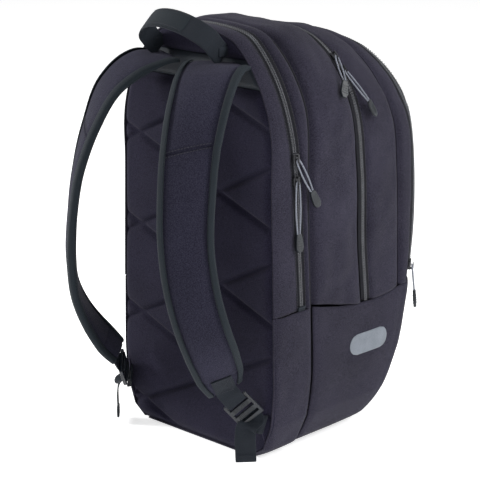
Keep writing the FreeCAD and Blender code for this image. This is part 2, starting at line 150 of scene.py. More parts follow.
def ribbed(name, dark, light, ribs=420.0, bump=0.5, rough=0.7, direction="Y"):
    """Narrow webbing or tape: ribs along its length, with a fine cross weave."""
    material, nodes, links, shader = new_material(name)
    uv = nodes.new("ShaderNodeUVMap").outputs["UV"]
    solid = nodes.new("ShaderNodeTexCoord").outputs["Object"]
    rib = wave_node(nodes, links, uv, ribs, direction)
    cross = wave_node(nodes, links, uv, ribs * 1.8, "X" if direction == "Y" else "Y")
    fleck = noise_node(nodes, links, solid, 1200.0)
    height = math_node(nodes, links, "ADD", rib, math_node(nodes, links, "MULTIPLY", cross, 0.35))
    colour = math_node(nodes, links, "ADD", math_node(nodes, links, "MULTIPLY", height, 0.3),
                       math_node(nodes, links, "MULTIPLY", fleck, 0.5))
    links.new(ramp_between(nodes, links, colour, dark, light, 0.25, 0.7), shader.inputs["Base Color"])
    add_bump(nodes, links, shader, height, bump, 0.0005)
    shader.inputs["Roughness"].default_value = rough
    shader.inputs["Specular IOR Level"].default_value = 0.2
    shader.inputs["Sheen Weight"].default_value = 0.02
    return material


def moulded(name, dark, light, rough=0.45, grain=500.0, metallic=0.0, bump=0.1):
    """Moulded plastic, rubber, film or enamelled metal, with a fine grain and rubbed patches."""
    material, nodes, links, shader = new_material(name)
    solid = nodes.new("ShaderNodeTexCoord").outputs["Object"]
    fine = noise_node(nodes, links, solid, grain, 3.0)
    broad = noise_node(nodes, links, solid, 60.0, 2.0)
    mixed = math_node(nodes, links, "ADD", math_node(nodes, links, "MULTIPLY", fine, 0.5),
                      math_node(nodes, links, "MULTIPLY", broad, 0.5))
    links.new(ramp_between(nodes, links, mixed, dark, light, 0.35, 0.65), shader.inputs["Base Color"])
    add_bump(nodes, links, shader, fine, bump, 0.0003)
    links.new(math_node(nodes, links, "ADD", math_node(nodes, links, "MULTIPLY", broad, 0.15), rough - 0.07),
              shader.inputs["Roughness"])
    shader.inputs["Metallic"].default_value = metallic
    return material


SHELL = woven("shell_cloth", (0.0105, 0.0098, 0.0165), (0.040, 0.037, 0.060), sheen=0.05)
PAD = woven("quilt_cloth", (0.0075, 0.0068, 0.0145), (0.022, 0.020, 0.040), sheen=0.03)
STRAP_CLOTH = woven("strap_cloth", (0.011, 0.0105, 0.020), (0.036, 0.035, 0.060), sheen=0.04)
LINING = woven("lining_cloth", (0.014, 0.014, 0.019), (0.030, 0.030, 0.038), thread=900.0, sheen=0.04)
SMOOTH = ribbed("yoke_ribbon", (0.008, 0.011, 0.017), (0.020, 0.026, 0.036), 600.0, 0.3, 0.45)
WEBBING = ribbed("webbing_cloth", (0.005, 0.007, 0.011), (0.016, 0.022, 0.032))
BINDING = ribbed("binding_tape", (0.005, 0.008, 0.012), (0.016, 0.024, 0.032), 500.0, 0.4)
TAPE = ribbed("zip_tape_cloth", (0.0035, 0.0036, 0.006), (0.010, 0.010, 0.016), 700.0, 0.4)
COIL = moulded("coil_nylon", (0.022, 0.023, 0.028), (0.055, 0.058, 0.070), 0.3, 900.0)
THREAD = moulded("thread", (0.012, 0.012, 0.020), (0.030, 0.030, 0.044), 0.7, 900.0)
CORD = ribbed("pull_cord_braid", (0.12, 0.13, 0.16), (0.34, 0.36, 0.42), 900.0, 0.4)
RUBBER = moulded("pull_rubber_grip", (0.004, 0.006, 0.009), (0.016, 0.021, 0.028), 0.4, 700.0)
ENAMEL = moulded("slider_enamel", (0.020, 0.020, 0.023), (0.070, 0.072, 0.080), 0.32, 800.0, 0.6)
ACETAL = moulded("lock_acetal", (0.004, 0.006, 0.010), (0.012, 0.016, 0.024), 0.28, 600.0)
FILM = moulded("reflective_film", (0.10, 0.12, 0.145), (0.17, 0.19, 0.225), 0.42, 900.0)


# ------------------------------------------------------------------ curves and the bag's skin
def unit(vectors):
    return vectors / np.linalg.norm(vectors, axis=-1, keepdims=True)


def square_to(vectors, axis):
    """Unit vectors of what is left when the part along the unit axis is taken away."""
    return unit(vectors - np.sum(vectors * axis, axis=-1, keepdims=True) * axis)


def run_of(points):
    """Distance along a line of points, 0 at its start."""
    return np.concatenate([[0.0], np.cumsum(np.linalg.norm(np.diff(points, axis=0), axis=1))])


def read_rows(at, run, rows):
    """Rows of a table, read in straight steps at places along the run."""
    return np.stack([np.interp(at, run, rows[:, i]) for i in range(rows.shape[1])], axis=1)


def smooth_rows(at, run, rows):
    return np.stack([hermite_rows(at, run, rows[:, i]) for i in range(rows.shape[1])], axis=1)


def grid_of(down, across):
    """Two grids: the first changes from row to row, the second from column to column."""
    return np.meshgrid(down, across, indexing="ij")


def hermite_rows(query, knots, values):
    """Smooth interpolation of values (one row for each knot, any shape after that) at query."""
    slopes = np.gradient(values, knots, axis=0)
    place = np.clip(np.searchsorted(knots, query) - 1, 0, len(knots) - 2)
    start = knots[place]
    step = knots[place + 1] - start
    u = np.clip((query - start) / step, 0, 1)

    def pick(table, offset):
        if table.ndim == 1:
            return table[place + offset]
        return np.take_along_axis(table, (place + offset)[None], axis=0)[0]

    v0, v1 = pick(values, 0), pick(values, 1)
    m0, m1 = pick(slopes, 0) * step, pick(slopes, 1) * step
    return ((2 * u ** 3 - 3 * u ** 2 + 1) * v0 + (u ** 3 - 2 * u ** 2 + u) * m0
            + (3 * u ** 2 - 2 * u ** 3) * v1 + (u ** 3 - u ** 2) * m1)


def line_of(points):
    """Seam line on the side of the bag, (depth, height) pairs: returns height -> depth."""
    table = np.array(sorted(points, key=lambda p: p[1]), float)

    def at(height):
        height = np.asarray(height, float)
        return hermite_rows(np.clip(height, table[0, 1], table[-1, 1]), table[:, 1], table[:, 0])
    return at


TOP = 560
REAR_ZIP = line_of([(45, 160), (44.5, 183), (41, 252), (36, 346), (29, 405), (27, 450), (27, TOP)])
DEEP_SEAM = line_of([(52, 0), (59, 14), (64, 50), (65, 100), (63, 183), (59, 280), (57, 390), (53, 450),
                     (52, TOP)])
MAIN_ZIP = line_of([(161, 120), (159, 166), (152, 237), (149, 318), (145, 357), (140, 400), (139, 440),
                    (139, TOP)])
POCKET_SEAM = line_of([(226, 100), (222, 178), (216, 320), (209, 385), (203, 420), (199, 470), (198, TOP)])
POCKET_ZIP = line_of([(244, 150), (246, 190), (250, 262), (247, 345), (236, 420), (230, 470), (228, TOP)])
# top edge of the boot: (depth, height)
BOOT_TABLE = np.array([(58, 182), (84, 176), (110, 170.5), (144, 167), (168, 166), (192, 167.5), (217, 171),
                       (270, 177)])

# the bag seen from above: (height, half width, depth of the front)
PLAN = np.array([(-2, 90, 171), (0, 92, 172), (14, 112, 196), (45, 124, 219), (95, 130, 239), (180, 130, 258),
                 (262, 130, 266), (345, 130, 261), (420, 130, 245), (520, 130, 214)], float)
CORNER = 30.0
# the bag seen from behind, for some depths: where the side ends, a point of the bend, the shoulder, the crown
ARCHES = [(-30, (121, 340), (105, 438), (60, 489), 502), (28, (124, 350), (106, 446), (64, 496), 503),
          (55, (128, 365), (109, 455), (68, 496), 503), (140, (130, 360), (110, 436), (56, 482), 491),
          (212, (130, 335), (111, 418), (58, 464), 475), (280, (128, 300), (104, 402), (54, 440), 447)]
FOOT_HALF = 132.0                              # half width at the base, before the plan limits it
SIDE_END, SHOULDER_END = 0.55, 0.85            # places along the arch, from 0 at the base to 1 at the crown
SIDE_COUNT, BEND_COUNT, ROOF_COUNT = 45, 31, 16
BAG_MIDDLE = np.array([0.0, 130.0, 240.0])


def boot_height(depth):
    return np.interp(depth, BOOT_TABLE[:, 0], BOOT_TABLE[:, 1])


def arc_points(a, b, c, count):
    """Points on the circle through a, b and c, from a to c."""
    (ax, ay), (bx, by), (cx, cy) = a, b, c
    d = 2 * (ax * (by - cy) + bx * (cy - ay) + cx * (ay - by))
    a2, b2, c2 = ax ** 2 + ay ** 2, bx ** 2 + by ** 2, cx ** 2 + cy ** 2
    ux = (a2 * (by - cy) + b2 * (cy - ay) + c2 * (ay - by)) / d
    uy = (a2 * (cx - bx) + b2 * (ax - cx) + c2 * (bx - ax)) / d
    angles = np.linspace(math.atan2(ay - uy, ax - ux), math.atan2(cy - uy, cx - ux), count)
    radius = math.hypot(ax - ux, ay - uy)
    return np.stack([ux + radius * np.cos(angles), uy + radius * np.sin(angles)], axis=1)


def arch_table():
    """For each depth, the half outline from the base up the side and over to the crown."""
    rows = []
    for _, spring, middle, shoulder, crown in ARCHES:
        heights = np.linspace(0, spring[1], SIDE_COUNT)
        side = np.stack([FOOT_HALF + (spring[0] - FOOT_HALF) * heights / spring[1], heights], axis=1)
        bend = arc_points(spring, middle, shoulder, BEND_COUNT)[1:]
        roof = arc_points(shoulder, (0, crown), (-shoulder[0], shoulder[1]), BEND_COUNT)[1:ROOF_COUNT]
        rows.append(np.concatenate([side, bend, roof]))
    steps = np.concatenate([np.linspace(0, SIDE_END, SIDE_COUNT),
                            np.linspace(SIDE_END, SHOULDER_END, BEND_COUNT)[1:],
                            np.linspace(SHOULDER_END, 1, ROOF_COUNT)[1:]])
    table = np.stack(rows)
    for _ in range(6):                           # soften the change of curvature at the springing
        table[:, 30:-2] = (table[:, 29:-3] + 2 * table[:, 30:-2] + table[:, 31:-1]) / 4
    return steps, table


STEPS, ARCH_TABLE = arch_table()
ARCH_DEPTHS = np.array([row[0] for row in ARCHES], float)
SPRINGS = np.array([row[1][1] for row in ARCHES], float)


def plan_limit(depth, height):
    """Half width that the rounded plan outline allows at a depth and height."""
    half = np.interp(height, PLAN[:, 0], PLAN[:, 1])
    front = hermite_rows(np.clip(height, -2, 520), PLAN[:, 0], PLAN[:, 2])
    into = np.clip(depth - (front - CORNER), 0, CORNER - 0.3)
    return half - CORNER + np.sqrt(CORNER ** 2 - into ** 2)


def front_at(height):
    return hermite_rows(np.clip(height, -2, 520), PLAN[:, 0], PLAN[:, 2])


def index_at(depth, height):
    """Place along the arch, 0 at the right base and 1 at the crown, of a height on the side."""
    spring = np.interp(depth, ARCH_DEPTHS, SPRINGS)
    return height / spring * SIDE_END


def skin(depth, index):
    """Point of the bag's outer surface, in millimetres; index runs 0 to 2, right base to left base."""
    depth, index = np.broadcast_arrays(np.asarray(depth, float), np.asarray(index, float))
    left = index > 1
    folded = np.where(left, 2 - index, index)
    xs = np.stack([np.interp(folded, STEPS, row[:, 0]) for row in ARCH_TABLE])
    zs = np.stack([np.interp(folded, STEPS, row[:, 1]) for row in ARCH_TABLE])
    x = hermite_rows(depth, ARCH_DEPTHS, xs)
    z = hermite_rows(depth, ARCH_DEPTHS, zs)
    limit = plan_limit(depth, z)
    soft = 2.0
    x = x - soft * np.log1p(np.exp(np.clip((x - limit) / soft, -30, 30)))
    return np.stack([np.where(left, -x, x), depth, z], axis=-1)


# ------------------------------------------------------------------ mesh helpers
def to_frame(points):
    """Millimetres with depth from the back panel -> metres in the row frame."""
    out = np.asarray(points, float) * MM
    out[..., 1] += BACK
    return out


def finish_mesh(name, vertices, faces, material, uv=None, smooth=True):
    mesh = bpy.data.meshes.new(name)
    mesh.from_pydata([tuple(v) for v in vertices], [], [tuple(int(i) for i in f) for f in faces])
    mesh.update()
    obj = bpy.data.objects.new(name, mesh)
    bpy.context.scene.collection.objects.link(obj)
    obj.data.materials.append(material)
    if uv is not None:
        layer = mesh.uv_layers.new(name="UVMap")
        loops = np.empty(len(mesh.loops), int)
        mesh.loops.foreach_get("vertex_index", loops)
        layer.data.foreach_set("uv", np.asarray(uv, float)[loops].ravel())
    if smooth:
        mesh.polygons.foreach_set("use_smooth", [True] * len(mesh.polygons))
    return obj


def grid_faces(rows, cols, wrap=False, offset=0):
    last = cols if wrap else cols - 1
    r, c = np.meshgrid(np.arange(rows - 1), np.arange(last), indexing="ij")
    n = (c + 1) % cols
    quads = np.stack([r * cols + c, r * cols + n, (r + 1) * cols + n, (r + 1) * cols + c], axis=-1)
    return quads.reshape(-1, 4) + offset


def normals_of(points, outward):
    """Unit normals of a grid of points; outward(points) gives rough outward directions to agree with."""
    normal = np.cross(np.gradient(points, axis=0), np.gradient(points, axis=1))
    normal /= np.linalg.norm(normal, axis=-1, keepdims=True) + 1e-9
    sign = np.sign(np.sum(normal * outward(points), axis=-1, keepdims=True))
    sign[sign == 0] = 1
    return normal * (1 if np.mean(sign) >= 0 else -1)


def from_middle(points):
    """Rough outward directions on the bag's skin."""
    return points - BAG_MIDDLE


def wrinkles(points, size, seed):
    """Smooth noise from -1 to 1 at points, in millimetres, with features of about the given size."""
    flat = points.reshape(-1, 3) / size + seed * 17.3
    return np.array([noise.noise(Vector(p)) for p in flat]).reshape(points.shape[:-1]) * 1.6


def uv_of(points):
    """UV in metres: distance along rows and columns of a grid."""
    along = np.zeros(points.shape[:2])
    along[1:] = np.cumsum(np.linalg.norm(np.diff(points, axis=0), axis=-1), axis=0)
    across = np.zeros(points.shape[:2])
    across[:, 1:] = np.cumsum(np.linalg.norm(np.diff(points, axis=1), axis=-1), axis=1)
    mid = along[:, along.shape[1] // 2][:, None]
    return np.stack([np.broadcast_to(mid, along.shape), across], axis=-1).reshape(-1, 2) * MM


def facing(*direction):
    """Outward directions that are the same everywhere."""
    return lambda points: points * 0 + np.array(direction, float)


def side_name(sign):
    return "right" if sign > 0 else "left"


def sheet_of(name, points, material, thickness=1.2, outward=from_middle):
    """Thin closed sheet of cloth on a grid of points: the outer face, an inner face and its rim."""
    normal = normals_of(points, outward)
    rows, cols = points.shape[:2]
    inner = points - normal * thickness
    both = np.concatenate([points.reshape(-1, 3), inner.reshape(-1, 3)])
    count = rows * cols
    top = grid_faces(rows, cols)
    probe = np.cross(points[1, 0] - points[0, 0], points[0, 1] - points[0, 0])
    if np.dot(probe, normal[0, 0]) > 0:
        top = top[:, ::-1]
    faces = [top, top[:, ::-1] + count]
    border = ([(0, c) for c in range(cols)] + [(r, cols - 1) for r in range(1, rows)]
              + [(rows - 1, c) for c in range(cols - 2, -1, -1)] + [(r, 0) for r in range(rows - 2, 0, -1)])
    ring = np.array([r * cols + c for r, c in border])
    rim = np.stack([ring, np.roll(ring, -1), np.roll(ring, -1) + count, ring + count], axis=-1)
    if np.dot(probe, normal[0, 0]) <= 0:
        rim = rim[:, ::-1]
    faces.append(rim)
    uv = np.concatenate([uv_of(points)] * 2)
    return finish_mesh(name, to_frame(both), np.concatenate(faces), material, uv)


def fix_normals(obj):
    work = bmesh.new()
    work.from_mesh(obj.data)
    bmesh.ops.recalc_face_normals(work, faces=work.faces)
    work.to_mesh(obj.data)
    work.free()


def disc_of(name, rings, material, thickness, outward):
    """Thin closed sheet made of rings from its outline in to its middle, with no seam between."""
    wrapped = np.concatenate([rings[:, -1:], rings, rings[:, :1]], axis=1)
    normal = normals_of(wrapped, outward)[:, 1:-1]
    middle = normal[-6].mean(axis=0)
    normal[-5:] = middle / np.linalg.norm(middle)
    rows, cols = rings.shape[:2]
    count = rows * cols
    both = np.concatenate([rings.reshape(-1, 3), (rings - normal * thickness).reshape(-1, 3)])
    top = grid_faces(rows, cols, True)
    around = np.arange(cols)
    rim = np.stack([around, (around + 1) % cols, (around + 1) % cols + count, around + count], axis=-1)
    last = list(range((rows - 1) * cols, count))
    faces = [list(f) for f in np.concatenate([top, top[:, ::-1] + count, rim])]
    faces += [last, [i + count for i in last[::-1]]]
    obj = finish_mesh(name, to_frame(both), faces, material, both[:, [0, 2]] * MM)
    fix_normals(obj)
    return obj


def piece(obj, body, nodes=(), blend=None):
    """Parents a piece to the empty of the body that it moves with, or, given a blend, only bakes its
    transform; hides the CAD nodes that it stands for.
    """
    if blend:
        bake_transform(obj)
    else:
        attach(obj, body)
    if nodes:
        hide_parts(*nodes)
    return obj


# lower ends of the front section's cloth, between the boot and the section above it: two bodies and two
# heights; piece() only bakes the transform of a piece given one
FRONT_BLEND = ("root", "front_section", (0, 0, 0.168), (0, 0, 0.225))
FLAP_BLEND = ("front_section", "pocket_flap", (0, 0, 0.222), (0, 0, 0.262))


# ------------------------------------------------------------------ panels between two seams
def seam_profile(t, width, puff, tuck, crisp=4.2):
    """Height of a padded panel across its width: crowned in the middle, pulled in at both seams."""
    crown = puff * (1 - np.abs(2 * t - 1) ** 2.6)
    near = np.minimum(t, 1 - t) * width
    return crown - tuck * np.exp(-(near / crisp) ** 2)


def settle(depth_at, start, stop, along, guess=120.0, steps=8):
    """Skin points at places along the arch from start to stop, whose depth follows their height."""
    depth = np.full(along.shape, guess)
    points = skin(depth, 0.3 + 1.4 * along)
    for _ in range(steps):
        depth = depth_at(points[..., 2])
        points = skin(depth, start(depth) + along * (stop(depth) - start(depth)))
    return points, depth


def strip_grid(low_seam, high_seam, start, stop, rows, cols):
    """Grid between two seam lines. start and stop give the place along the arch for a depth."""
    along, t = grid_of(np.linspace(0, 1, rows), np.linspace(0, 1, cols))
    t = 0.5 - 0.5 * np.cos(math.pi * t) * (0.55 + 0.45 * np.abs(np.cos(math.pi * t)))
    widths = []

    def depth_at(height):
        low = low_seam(height)
        widths.append(high_seam(height) - low)
        return low + t * widths[-1]

    points, _ = settle(depth_at, start, stop, along)
    return points, t, widths[-1]


def above_boot(depth):
    return index_at(depth, boot_height(depth))


def over_top(start):
    return lambda depth: 2 - start(depth)


def side_height(height):
    return lambda depth: index_at(depth, np.full_like(depth, float(height)))


def mirrored_height(height):
    return lambda depth: 2 - index_at(depth, np.full_like(depth, float(height)))


def shifted(line, offset):
    return lambda height: line(height) + offset


CREASE = 2.1                                   # height of the cloth's creases


def strip_panel(name, low_seam, high_seam, start, stop, rows, cols, puff, tuck, crease, seed):
    """Padded panel of shell cloth between two seams, with soft creases."""
    points, t, width = strip_grid(low_seam, high_seam, start, stop, rows, cols)
    normal = normals_of(points, from_middle)
    fade = np.clip(np.minimum(t, 1 - t) * 6, 0, 1)
    creases = wrinkles(points, 55.0, seed) + 0.5 * wrinkles(points, 23.0, seed + 3)
    lift = seam_profile(t, width, puff, tuck) + CREASE * crease * fade * creases
    return sheet_of(name, points + normal * lift[..., None], SHELL, 1.2)


ZIP_GAP = 4.4                                  # from a zip's middle line to the cloth beside it
# beside the deep seam the cloth stops short, so that the dark strip painted in there as its shade shows
SEAM_GAP = 0.8                                 # from the deep seam's line to the cloth beside it
REAR_FOOT, POCKET_FOOT = 181, 188              # heights where the rear band and the pocket cover begin


def build_gussets():
    """Side and top walls between the seams, from the back panel to the front pocket."""
    back, rear_seam = line_of([(0.5, 0), (0.5, TOP)]), shifted(DEEP_SEAM, -SEAM_GAP)
    rear = (side_height(REAR_FOOT), mirrored_height(REAR_FOOT))
    whole = (above_boot, over_top(above_boot))
    for name, node, low, high, ends, rows, cols, puff, tuck, crease, seed, blend in (
            ("rear_gusset_cloth", "rear_gusset", back, shifted(REAR_ZIP, -ZIP_GAP), rear,
             220, 13, 1.6, 1.0, 0.5, 1, None),
            ("rear_band_cloth", "rear_band", shifted(REAR_ZIP, ZIP_GAP), rear_seam, rear,
             220, 19, 2.6, 3.6, 0.4, 2, None),
            ("rear_lower_cloth_right", "rear_lower_gusset", back, rear_seam,
             (side_height(1.5), side_height(REAR_FOOT - 1)), 70, 20, 1.8, 1.8, 0.8, 4, None),
            ("rear_lower_cloth_left", "rear_lower_gusset", back, rear_seam,
             (mirrored_height(REAR_FOOT - 1), mirrored_height(1.5)), 70, 20, 1.8, 1.8, 0.8, 4, None),
            ("main_gusset_cloth", "main_gusset", shifted(DEEP_SEAM, SEAM_GAP),
             shifted(MAIN_ZIP, -ZIP_GAP - SEAM_GAP), whole, 260, 44, 4.5, 3.8, 1.1, 5, None),
            ("front_gusset_cloth", "front_gusset", shifted(MAIN_ZIP, ZIP_GAP), POCKET_SEAM, whole,
             260, 38, 3.6, 2.4, 0.9, 6, FRONT_BLEND),
            ("pocket_gusset_cloth", "pocket_gusset", POCKET_SEAM, shifted(POCKET_ZIP, -ZIP_GAP), whole,
             260, 16, 1.8, 1.8, 0.5, 7, FRONT_BLEND)):
        panel = strip_panel(name, low, high, *ends, rows, cols, puff, tuck, crease, seed)
        piece(panel, "root", [node], blend)


build_gussets()


# ------------------------------------------------------------------ zips
def zip_strip(name, line, start, stop, rows, profile, lift, material, ridge=0.0, pitch=2.4):
    """Band along a zip's middle line. profile holds the offsets across it, lift each one's height."""
    along, offsets = grid_of(np.linspace(0, 1, rows), np.array(profile, float))
    points, _ = settle(lambda height: line(height) + offsets, start, stop, along)
    run = run_of(points[:, len(profile) // 2])
    teeth = 0.5 + 0.5 * np.cos(2 * math.pi * run / pitch)
    height = np.array(lift, float)[None, :] * (1 - ridge * (1 - teeth[:, None]))
    return sheet_of(name, points + normals_of(points, from_middle) * height[..., None], material, 1.0)


ZIP_LINES = {"rear": (REAR_ZIP, side_height(183), mirrored_height(183)),
             "main": (MAIN_ZIP, above_boot, over_top(above_boot)),
             "pocket": (POCKET_ZIP, side_height(186), mirrored_height(186))}
# low and high half of each zip: its body, the CAD tape that it stands for, and its blend
ZIP_HALVES = {"rear": (("root", ["rear_zip_tape_back"], None), ("root", ["rear_zip_tape_front"], None)),
              "main": (("root", ["main_zip_tape_back"], None),
                       ("front_section", ["main_zip_tape_front"], FRONT_BLEND)),
              "pocket": (("front_section", ["pocket_zip_tape"], None), ("pocket_flap", [], FLAP_BLEND))}


def build_zips():
    """Each half of each zip: its tape and its row of coil teeth; and a dark strip in the deep seam, painted
    shade.
    """
    for key, (line, start, stop) in ZIP_LINES.items():
        for part, sign, (body, nodes, bend) in zip(("low", "high"), (-1, 1), ZIP_HALVES[key]):
            across = sorted(sign * offset for offset in (0.15, 2.6, 4.0, ZIP_GAP + 3.2))
            tape = zip_strip(key + "_tape_" + part, line, start, stop, 260, across, [-0.4] * 4, TAPE)
            piece(tape, body, nodes, bend)
            across = sorted(sign * offset for offset in (0.1, 0.5, 1.6, 2.4, 2.8))
            heights = [0.5, 1.3, 1.45, 0.9, -0.3][::sign]
            coil = zip_strip(key + "_coil_" + part, line, start, stop, 1900, across, heights, COIL, 0.75, 3.1)
            piece(coil, body, [], bend)
    # dark strip of zip-tape cloth sunk in the gap at the deep seam: painted shade standing in for the shadow
    # in the seam's groove
    seam_shade_strip = zip_strip("deep_seam_shade_strip", DEEP_SEAM, side_height(3), mirrored_height(3), 400,
                       [-1.5, -0.6, 0.6, 1.5], [-3.5, -3.0, -3.0, -3.5], TAPE)
    piece(seam_shade_strip, "root")


build_zips()


# ------------------------------------------------------------------ boot, base and front pocket
BOOT_SIDE_COLUMNS = 40


def boot_grid(rows=46):
    """Perimeter grid of the boot, from the right deep seam round the front to the left one."""
    v = np.linspace(0, 1, rows)
    side_t = np.linspace(0, 1, BOOT_SIDE_COLUMNS)[:-1]
    arc_t = np.linspace(0, 1, 14)[:-1]
    front_t = np.linspace(0, 1, 60)

    def outline(kind, t, z):
        half = np.interp(z, PLAN[:, 0], PLAN[:, 1]) - 0.4
        front = front_at(z)
        if kind == "side":
            return half, DEEP_SEAM(z) + t * (front - CORNER - DEEP_SEAM(z))
        if kind == "arc":
            angle = t * math.pi / 2
            return half - CORNER + CORNER * np.cos(angle), front - CORNER + CORNER * np.sin(angle)
        return (half - CORNER) * (1 - 2 * t), front

    plan = [("side", t, 1) for t in side_t] + [("arc", t, 1) for t in arc_t]
    plan += [("front", t, 1) for t in front_t]
    plan += [("arc", t, -1) for t in arc_t[::-1]] + [("side", t, -1) for t in side_t[::-1]]
    columns = []
    for kind, t, sign in plan:
        z = np.full(rows, 90.0)
        for _ in range(6):
            x, y = outline(kind, t, z)
            z = 1.0 + (boot_height(np.minimum(y, 262.0)) - 1.0) * v
        x, y = outline(kind, t, z)
        x, y = np.broadcast_to(x, z.shape), np.broadcast_to(y, z.shape)
        columns.append(np.stack([sign * x, y, z], axis=-1))
    return np.stack(columns, axis=1)


def build_boot():
    """Lower panels in one sheet, creased at the two front corners, and the base below them."""
    points = boot_grid()
    normal = normals_of(points, from_middle)
    v = np.linspace(0, 1, points.shape[0])[:, None]
    column, last = np.arange(points.shape[1]), points.shape[1] - 1
    edge = np.minimum(column, last - column)[None, :]
    crease_at = BOOT_SIDE_COLUMNS - 0.5
    corner = np.minimum(np.abs(column - crease_at), np.abs(column - (last - crease_at)))[None, :]
    lift = 1.6 * np.clip(v * 5, 0, 1) + 0.8 * np.sin(math.pi * v)
    lift = lift - 2.0 * np.exp(-(edge / 1.6) ** 2) - 0.9 * np.exp(-((1 - v) * 175 / 3.5) ** 2)
    lift = lift - 1.2 * np.exp(-(corner / 0.7) ** 2)
    lift = lift + 0.9 * np.clip(v * 3, 0, 1) * (wrinkles(points, 60.0, 9) + 0.4 * wrinkles(points, 24.0, 11))
    points = points + normal * lift[..., None]
    points[..., 2] = np.clip(points[..., 2], 0.4, None)
    piece(sheet_of("boot_cloth", points, SHELL, 1.5), "root",
          ["boot_side_right", "boot_side_left", "boot_front"])
    # base: the outline of the boot's and the back's lower edges, closed over underneath
    lower = points[0]
    back_rim = np.array([[x, 1.5, 0.8] for x in np.linspace(lower[-1, 0], lower[0, 0], 40)[1:-1]])
    ring = np.concatenate([lower, [[lower[-1, 0], 30, 0.8]], back_rim, [[lower[0, 0], 30, 0.8]]])
    ring[:, 2] = 0.9
    centre = np.array([0, 90.0, 0.0])
    shrink = np.linspace(1, 0.004, 14)[:, None, None]
    rings = centre + (ring[None] - centre) * shrink
    rings[..., 2] = 0.25 + 0.7 * np.clip(shrink[..., 0] - 0.85, 0, 1) / 0.15
    piece(disc_of("base_cloth", rings, SHELL, 1.5, lambda p: p - np.array([0, 90, 200.0])), "root",
          ["base_panel"])


def pocket_rim():
    """Line beside the pocket's zip that the cover hangs from."""
    points, _ = settle(lambda height: POCKET_ZIP(height) + ZIP_GAP, side_height(POCKET_FOOT),
                       mirrored_height(POCKET_FOOT), np.linspace(0, 1, 150), 240.0, 10)
    return points


def build_pocket_cover():
    """Cover with its rounded rim, and the sill that it stands on."""
    rim = pocket_rim()
    bottom = np.linspace(rim[-1, 0], rim[0, 0], 62)[1:-1]
    low = np.stack([bottom, front_at(np.full(60, 188.0)) - 2.0, np.full(60, 185.5)], axis=-1)
    inset = np.clip(np.abs(bottom) - (130 - CORNER), 0, CORNER - 1)
    low[:, 1] -= CORNER - np.sqrt(CORNER ** 2 - inset ** 2)
    loop = np.concatenate([rim, low])
    centre = np.array([0.0, 0.0, 300.0])
    shrink = 1 - np.linspace(0, 1, 40) ** 1.25 * 0.998
    flat = centre + (loop[None] - centre) * shrink[:, None, None]
    x, z = flat[..., 0], flat[..., 2]
    inward = np.linalg.norm((flat - loop[None])[..., [0, 2]], axis=-1)
    front = front_at(z)
    rise = np.sqrt(np.clip(1 - (1 - np.clip(inward / 27, 0, 1)) ** 2, 0, 1))
    y = loop[None, :, 1] + (front - loop[None, :, 1]) * rise
    y = np.minimum(y, np.maximum(loop[None, :, 1], front))
    points = np.stack([x, y, z], axis=-1)
    fade = np.clip(inward / 18, 0, 1)
    points[..., 1] += fade * (2.2 + 1.3 * wrinkles(points, 75.0, 13)) - 0.8 * np.exp(-(inward / 4) ** 2)
    obj = disc_of("pocket_cover_cloth", points, SHELL, 1.4, facing(0, 1, 0))
    piece(obj, "pocket_flap", ["pocket_cover"], FLAP_BLEND)
    # sill between the boot and the cover, at the front
    t = np.linspace(-1, 1, 90)
    rows = []
    for height, back in ((173, 3.0), (177, 1.2), (181, 0.6), (184, 0.8), (186, 3.2)):
        half = 130 - 0.6
        reach = t * (half + 14)
        inset = np.clip(np.abs(reach) - (half - CORNER), 0, None)
        angle = np.clip(inset / CORNER, 0, math.pi / 2 * 0.86)
        x = np.sign(reach) * (np.minimum(np.abs(reach), half - CORNER) + CORNER * np.sin(angle))
        y = front_at(np.full(90, float(height))) - CORNER * (1 - np.cos(angle)) - back
        rows.append(np.stack([x, y, np.full(90, float(height))], axis=-1))
    sill = sheet_of("pocket_sill_cloth", np.stack(rows), SHELL, 1.4)
    piece(sill, "front_section", ["pocket_sill"], FRONT_BLEND)


build_boot()
build_pocket_cover()


# ------------------------------------------------------------------ back panel
def side_x(z, depth=0.5):
    """Half width of the back's outline at a height below the crown."""
    rim = skin(np.full(400, depth), np.linspace(0, 1, 400))
    return np.interp(z, rim[:, 2], rim[:, 0])


def crown_z(x, depth=0.5):
    """Height of the outline above a place across the back."""
    rim = skin(np.full(400, depth), np.linspace(0.4, 1, 400))
    return np.interp(-np.abs(x), -rim[:, 0], rim[:, 2])


QUILT_SPAN, YOKE_STRIP_SPAN, YOKE_FOOT = (2.5, 440), (440.5, 471.5), 472.0
QUILT_CROSSING = (-95, 364)                    # where two quilt lines cross: (x, height)
QUILT_PITCH, QUILT_SLOPES = 112.5, (-0.378, 0.479)


def quilt_line_distance(x, z, slope):
    """Distance to the nearest quilt line of this slope."""
    place = (z - QUILT_CROSSING[1] - slope * (x - QUILT_CROSSING[0])) / QUILT_PITCH
    return np.abs(place - np.round(place)) * QUILT_PITCH * math.cos(math.atan(slope))


